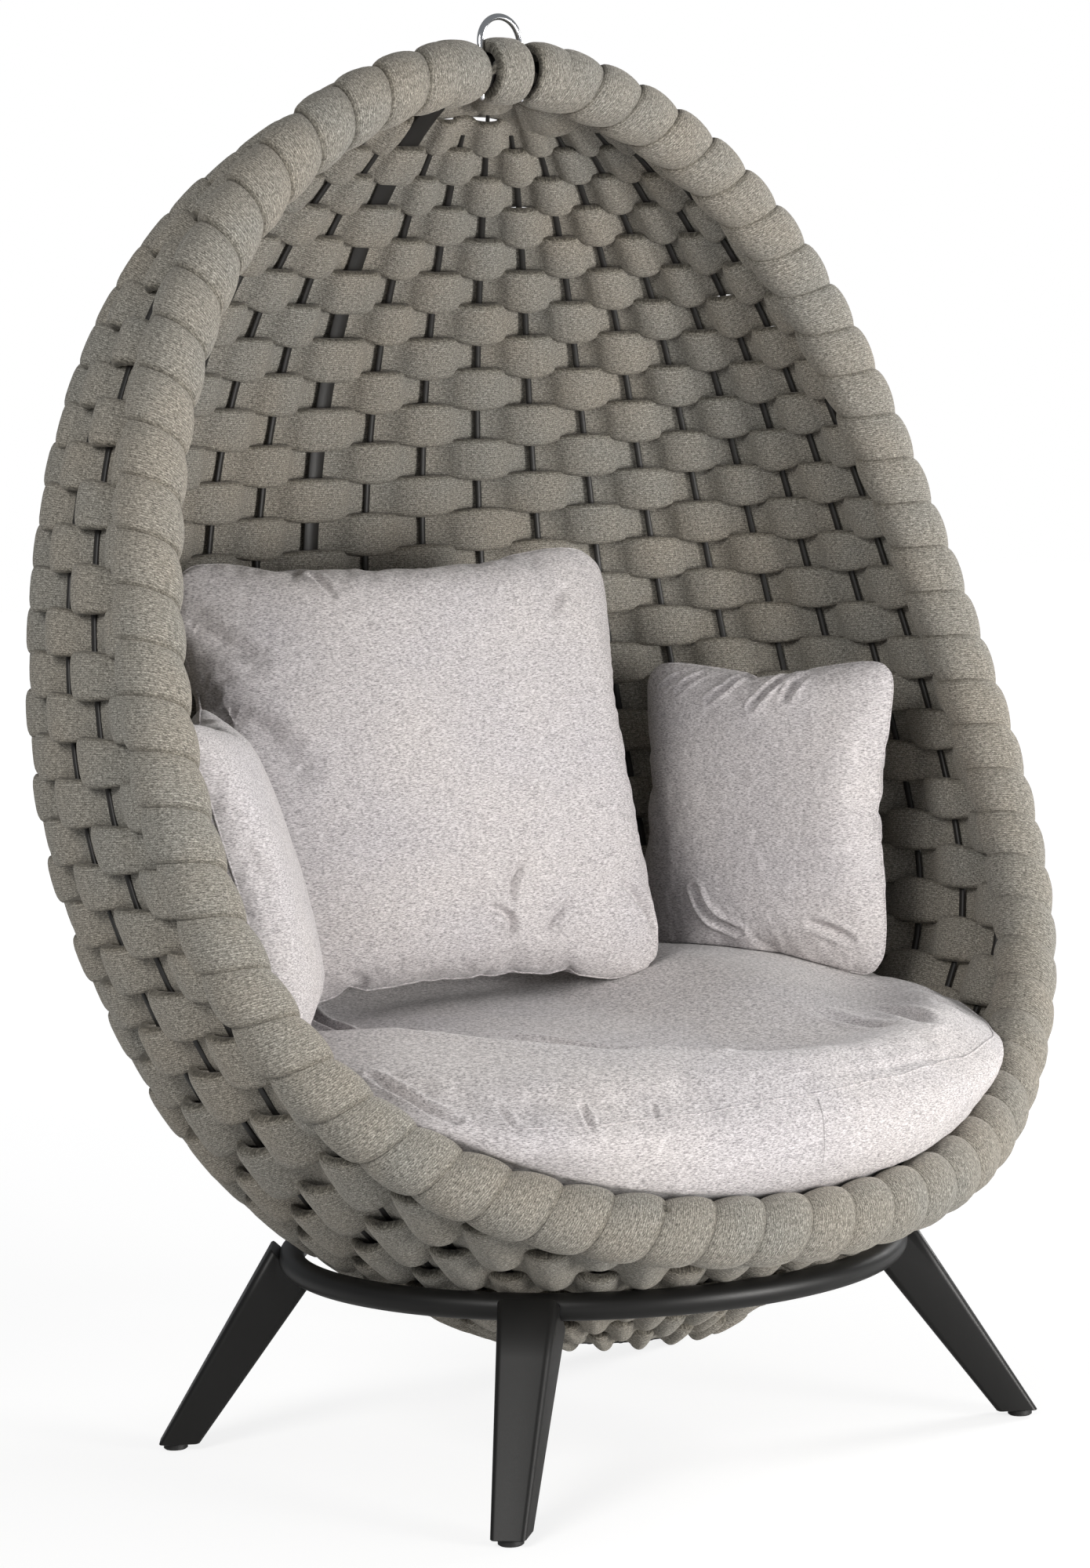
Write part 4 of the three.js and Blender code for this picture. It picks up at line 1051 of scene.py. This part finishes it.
def resampled(path, step):
    """A path as a smooth line of points about a step apart."""
    path = evenly(path, max(int(lengths_along(path)[-1] / step), 3))
    for _ in range(6):
        path[1:-1] = (path[:-2] + 2 * path[1:-1] + path[2:]) / 4
    return path


def snapped(path, piece):
    """A path's points moved onto a piece's surface."""
    tree = surface_tree(piece)
    return np.array([tree.find_nearest(Vector(point))[0] for point in path])


def refine(piece, lines, reach):
    """Halves the edges near some lines, so that a cover has points to bend at there."""
    points = np.concatenate(lines)
    tree = KDTree(len(points))
    for i, point in enumerate(points):
        tree.insert(point, i)
    tree.balance()
    work = bmesh.new()
    work.from_mesh(piece.data)
    near = [e for e in work.edges if tree.find((e.verts[0].co + e.verts[1].co) / 2)[2] < reach]
    bmesh.ops.subdivide_edges(work, edges=near, cuts=1, use_grid_fill=True)
    work.to_mesh(piece.data)
    work.free()
    piece.data.update()


def crease(mesh, path, half_width, depth):
    """Presses a crease into a cover along a line, with a low roll of cloth on each side of it."""
    points, out = coordinates(mesh), normals(mesh)
    near = np.where(((points > path.min(0) - 0.05) & (points < path.max(0) + 0.05)).all(1))[0]
    spot, best, share = points[near], np.full(len(near), 1.0), np.zeros(len(near))
    for i, (a, b) in enumerate(zip(path, path[1:])):
        step = b - a
        t = np.clip((spot - a) @ step / max(step @ step, 1e-12), 0, 1)
        far = np.linalg.norm(spot - (a + t[:, None] * step), axis=1)
        closer = far < best
        best, share = np.where(closer, far, best), np.where(closer, (i + t) / (len(path) - 1), share)
    strength = np.sin(math.pi * np.clip(0.06 + 0.88 * share, 0, 1)) ** 0.6
    roll = np.exp(-(((best - 2.2 * half_width) / half_width) ** 2))
    groove = -np.exp(-((best / half_width) ** 2)) + 0.4 * roll
    points[near] += out[near] * (depth * strength * groove)[:, None]
    move_vertices(mesh, points)


def press_creases(piece, creases):
    """Presses creases in: each is a path in metres, with its half width and depth in millimetres."""
    lines = [snapped(resampled(path, CREASE_STEP), piece) for path, _, _ in creases]
    for reach in CREASE_REACHES:
        refine(piece, lines, reach)
    for line, (_, half_width, depth) in zip(lines, creases):
        crease(piece.data, line, half_width / 1000, depth / 1000)


def pillow_blank(name, size, cells):
    """Two square panels sewn together along their edges, upright, facing -Y and not quite filled."""
    half_width, half_height, half_thick = (v / 2 for v in size)
    line = np.linspace(-1, 1, cells + 1)
    u, v = np.meshgrid(line, line)
    grid = (cells + 1) ** 2
    number = np.arange(grid).reshape(cells + 1, cells + 1)
    edge = (np.abs(u) == 1) | (np.abs(v) == 1)
    dome = 0.72 * half_thick * ((1 - u**2) * (1 - v**2)) ** 0.45
    rng = np.random.default_rng(len(name))
    dome += np.where(edge, 0, rng.normal(scale=0.0006, size=u.shape))
    corner = 1 - 0.075 * (u * v) ** 10
    x, z = half_width * u * corner, half_height * v * corner
    front = np.stack([x, -dome, z], -1).reshape(-1, 3)
    back = np.stack([x, dome, z], -1)[~edge]
    behind = number.copy()
    behind[~edge] = grid + np.arange((~edge).sum())
    faces = np.stack([quads(number), quads(behind)[:, [0, 3, 2, 1]]], 1).reshape(-1, 4)
    mesh = mesh_from(name, np.concatenate([front, back]), faces.tolist())
    mesh.materials.append(CUSHION_FABRIC)
    seam = np.concatenate([number[0, :-1], number[:-1, -1], number[-1, :0:-1], number[:0:-1, 0]])
    return keep_mesh(name, mesh), seam


def fit_size(points, size):
    """Stretches points round their middle so that they fill a box of a given size."""
    low, high = points.min(0), points.max(0)
    return (points - (low + high) / 2) * np.asarray(size) / (high - low)


def front_point(tree, across, up):
    hit = tree.ray_cast(Vector((across, -1, up)), Vector((0, 1, 0)))[0]
    return hit if hit is not None else Vector((across, 0, up))


def make_pillow(node, cells, neighbours):
    size, facing, lean = PILLOWS[node]
    piece, seam = pillow_blank(f"{node}_cover", size, cells)
    inflate(piece, frames=14, pressure=4.0)
    points = fit_size(coordinates(piece.data), (size[0], size[2], size[1]))
    lower = np.clip(-points[:, 2] / (size[1] / 2), 0, 1)
    points[:, 2] -= PILLOW_SLUMP * lower**2
    points[:, 1] *= 1 + 0.12 * lower * (1 - lower)
    move_vertices(piece.data, points)
    tree = surface_tree(piece)
    low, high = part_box(node)
    turn = Matrix.Rotation(math.radians(facing), 4, "Z") @ Matrix.Rotation(math.radians(-lean), 4, "X")
    turn, middle = np.array(turn.to_3x3()).T, np.array((low + high) / 2)
    creases = [
        (np.array([front_point(tree, *spot) for spot in np.array(path) / 1000]) @ turn + middle, *rest)
        for path, *rest in PILLOW_CREASES[node]
    ]
    points = points @ turn + middle
    for other in neighbours:
        points = push_out(points, other)
    move_vertices(piece.data, keep_inside(points))
    subdivide(piece)
    welt = welt_on(f"{node}_seam", coordinates(piece.data)[seam], WELT_RADII[0])
    press_creases(piece, creases)
    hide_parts(node)
    hand_over([piece, welt])
    return piece


def welt_on(name, line, radius, closed=True):
    """A sewn edge: a thin roll of the cover's cloth along a line."""
    along = unit(np.roll(line, -1, 0) - np.roll(line, 1, 0)) if closed else unit(np.gradient(line, axis=0))
    across = unit(np.cross(along, line - line.mean(0) + (0, 0, 1e-3)))
    rail = Rail(line, across, np.cross(along, across), radius, radius, closed)
    return sweep(name, [rail], CUSHION_FABRIC, 8, 1.0, np.zeros(3))


def make_seat():
    node = "seat_cushion"
    piece = keep_mesh("seat_cover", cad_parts[node].data.copy())
    piece.data.materials.clear()
    piece.data.materials.append(CUSHION_FABRIC)
    weld = piece.modifiers.new("weld", "WELD")
    weld.merge_threshold = 0.0001
    rounded = piece.modifiers.new("rounding", "SUBSURF")
    rounded.levels = rounded.render_levels = 2
    remesh = piece.modifiers.new("remesh", "REMESH")
    remesh.mode, remesh.voxel_size = "VOXEL", 0.0115
    work_in(piece)
    inflate(piece, frames=12, pressure=4.0, bending=0.3, cap=0.016)
    low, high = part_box(node)
    points = fit_size(coordinates(piece.data), (high - low) * SEAT_FILL) + np.array((low + high) / 2)
    x, y = points[:, 0] - POD_PLACE[0], points[:, 1] - POD_PLACE[1]
    behind = y - np.interp(x, *np.array(SEAT_CREST).T)
    upper = smooth((normals(piece.data)[:, 2] - 0.3) / 0.4)
    edge = smooth((0.98 - np.hypot(x / 0.60, (y + 0.02) / 0.43)) / 0.35)
    left = 1 - smooth((x - 0.06) / 0.24)
    rise = SEAT_RISE * np.exp(-((behind / 0.05) ** 2)) - SEAT_DIP[0] * left * smooth(behind / 0.15)
    rise -= SEAT_DIP[1] * (1 - left) * np.exp(-(((behind - 0.14) / 0.12) ** 2))
    points[:, 2] += rise * upper * edge
    move_vertices(piece.data, keep_inside(points))
    subdivide(piece)
    press_creases(piece, [(np.array(path) / 1000 + STAND_PLACE, *rest) for path, *rest in SEAT_CREASES])
    made = [piece]
    for i, path in enumerate(SEAT_SEAMS):
        line = snapped(resampled(np.array(path) / 1000 + STAND_PLACE, 0.008), piece)
        made.append(welt_on(f"seat_seam_{i + 1}", line, WELT_RADII[1], closed=False))
    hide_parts(node)
    hand_over(made)
    return piece


def make_cushions():
    seat = make_seat()
    back = make_pillow("back_pillow", 92, [seat])
    right = make_pillow("scatter_pillow_right", 60, [seat, back])
    make_pillow("scatter_pillow_left", 60, [seat, back, right])


# ---- stage, light and camera


def seen_mix(t, unseen, seen):
    """One shader for what the camera sees and another for all else."""
    path = t.node("ShaderNodeLightPath").outputs
    direct = t.math("MAXIMUM", path["Is Camera Ray"], path["Is Transmission Ray"])
    return t.node("ShaderNodeMixShader", {0: direct, 1: unseen.outputs[0], 2: seen.outputs[0]}).outputs[0]


def make_floor():
    """Matt pale floor, which the camera sees as white but for the chair's soft shadow."""
    material, t, shader, place = new_material("pale_floor", (0.86, 0.86, 0.86), 1.0)
    t.fill(shader, {"Specular IOR Level": 0.0})
    matt = t.node("ShaderNodeBsdfDiffuse", {"Color": (0.30, 0.30, 0.30, 1)})
    far = t.node("ShaderNodeVectorMath", {0: place}, operation="LENGTH").outputs["Value"]
    strength = t.node("ShaderNodeMapRange", {"Value": far, 1: 1.2, 2: 6.0, 3: 0.80, 4: 1.0}).outputs[0]
    glow = t.node("ShaderNodeEmission", {"Color": (1, 1, 1, 1), "Strength": strength})
    white = t.node("ShaderNodeAddShader", {0: matt.outputs[0], 1: glow.outputs[0]})
    t.fill(material.node_tree.nodes["Material Output"], {"Surface": seen_mix(t, shader, white)})
    mesh = bpy.data.meshes.new("floor")
    corners = [(x * FLOOR_HALF, y * FLOOR_HALF, 0) for x, y in ((-1, -1), (1, -1), (1, 1), (-1, 1))]
    mesh.from_pydata(corners, [], [(0, 1, 2, 3)])
    mesh.materials.append(material)
    new_object("floor", mesh)


def make_world():
    world = bpy.data.worlds.new("studio")
    bpy.context.scene.world = world
    world.use_nodes = True
    t = Tree(world.node_tree)
    world.node_tree.nodes.clear()
    fill = t.node("ShaderNodeBackground", {"Color": (0.93, 0.96, 1.0, 1), "Strength": 0.22})
    white = t.node("ShaderNodeBackground", {"Color": (1, 1, 1, 1), "Strength": 1.0})
    t.node("ShaderNodeOutputWorld", {"Surface": seen_mix(t, fill, white)})


# Disc lights: place, what each points at, width, watts and colour
LIGHTS = {
    "key": ((1.1, -5.0, 0.72), (0, 0, 0.9), 1.8, 214, (1.0, 0.98, 0.955)),
    "upper_left": ((-3.6, -1.5, 2.5), (0, 0, 0.9), 1.8, 88, (1.0, 0.985, 0.96)),
    "right_edge": ((3.4, -0.4, 1.9), (0, 0, 0.9), 1.6, 78, (1.0, 0.99, 0.98)),
    "low_fill": ((1.3, -2.7, 0.12), (0, 0, 0.3), 0.9, 24, (1.0, 0.985, 0.96)),
}


def make_lights():
    for name, (place, target, size, power, colour) in LIGHTS.items():
        light = bpy.data.lights.new(name, "AREA")
        light.shape, light.size, light.energy, light.color = "DISK", size, power, colour
        lamp = new_object(name, light)
        lamp.location = place
        lamp.rotation_euler = (Vector(target) - Vector(place)).to_track_quat("-Z", "Y").to_euler()


CAMERA_AZIMUTH = math.radians(-39.806)
CAMERA_ELEVATION = math.radians(4.241)
CAMERA_ROLL = math.radians(1.986)
CAMERA_DISTANCE = 4.8141
CAMERA_TARGET = (-0.0624, 0.0, 0.8211)
CAMERA_FOCAL_PIXELS = 5082.2
CAMERA_CENTRE = (685.11, 983.80)
SENSOR = 36.0
IMAGE_WIDTH, IMAGE_HEIGHT = 1390, 2000


def make_camera():
    a, e, r = CAMERA_AZIMUTH, CAMERA_ELEVATION, CAMERA_ROLL
    backward = Vector((math.sin(a) * math.cos(e), -math.cos(a) * math.cos(e), math.sin(e)))
    right = Vector((math.cos(a), math.sin(a), 0))
    up = backward.cross(right)
    rolled_right = right * math.cos(r) - up * math.sin(r)
    rolled_up = right * math.sin(r) + up * math.cos(r)
    data = bpy.data.cameras.new("camera")
    data.sensor_fit = "VERTICAL"
    data.sensor_height = SENSOR
    data.sensor_width = SENSOR * IMAGE_WIDTH / IMAGE_HEIGHT
    data.lens = CAMERA_FOCAL_PIXELS / IMAGE_HEIGHT * SENSOR
    data.shift_x = (IMAGE_WIDTH / 2 - CAMERA_CENTRE[0]) / IMAGE_HEIGHT
    data.shift_y = (CAMERA_CENTRE[1] - IMAGE_HEIGHT / 2) / IMAGE_HEIGHT
    data.clip_end = 100
    camera = new_object("camera", data)
    target = Vector(CAMERA_TARGET) + Vector(STAND_PLACE)
    turn = Matrix((rolled_right, rolled_up, backward)).transposed()
    camera.matrix_world = Matrix.Translation(target + backward * CAMERA_DISTANCE) @ turn.to_4x4()
    bpy.context.scene.camera = camera


# ---- the chair

make_camera()
make_weave()
make_rib_cage()
make_rim()
make_hanging_loop()
make_stand()
make_cushions()
make_floor()
make_world()
make_lights()

bpy.context.scene.view_settings.view_transform = "Standard"


def corners(box):
    return [list(map(float, corner)) for corner in box]
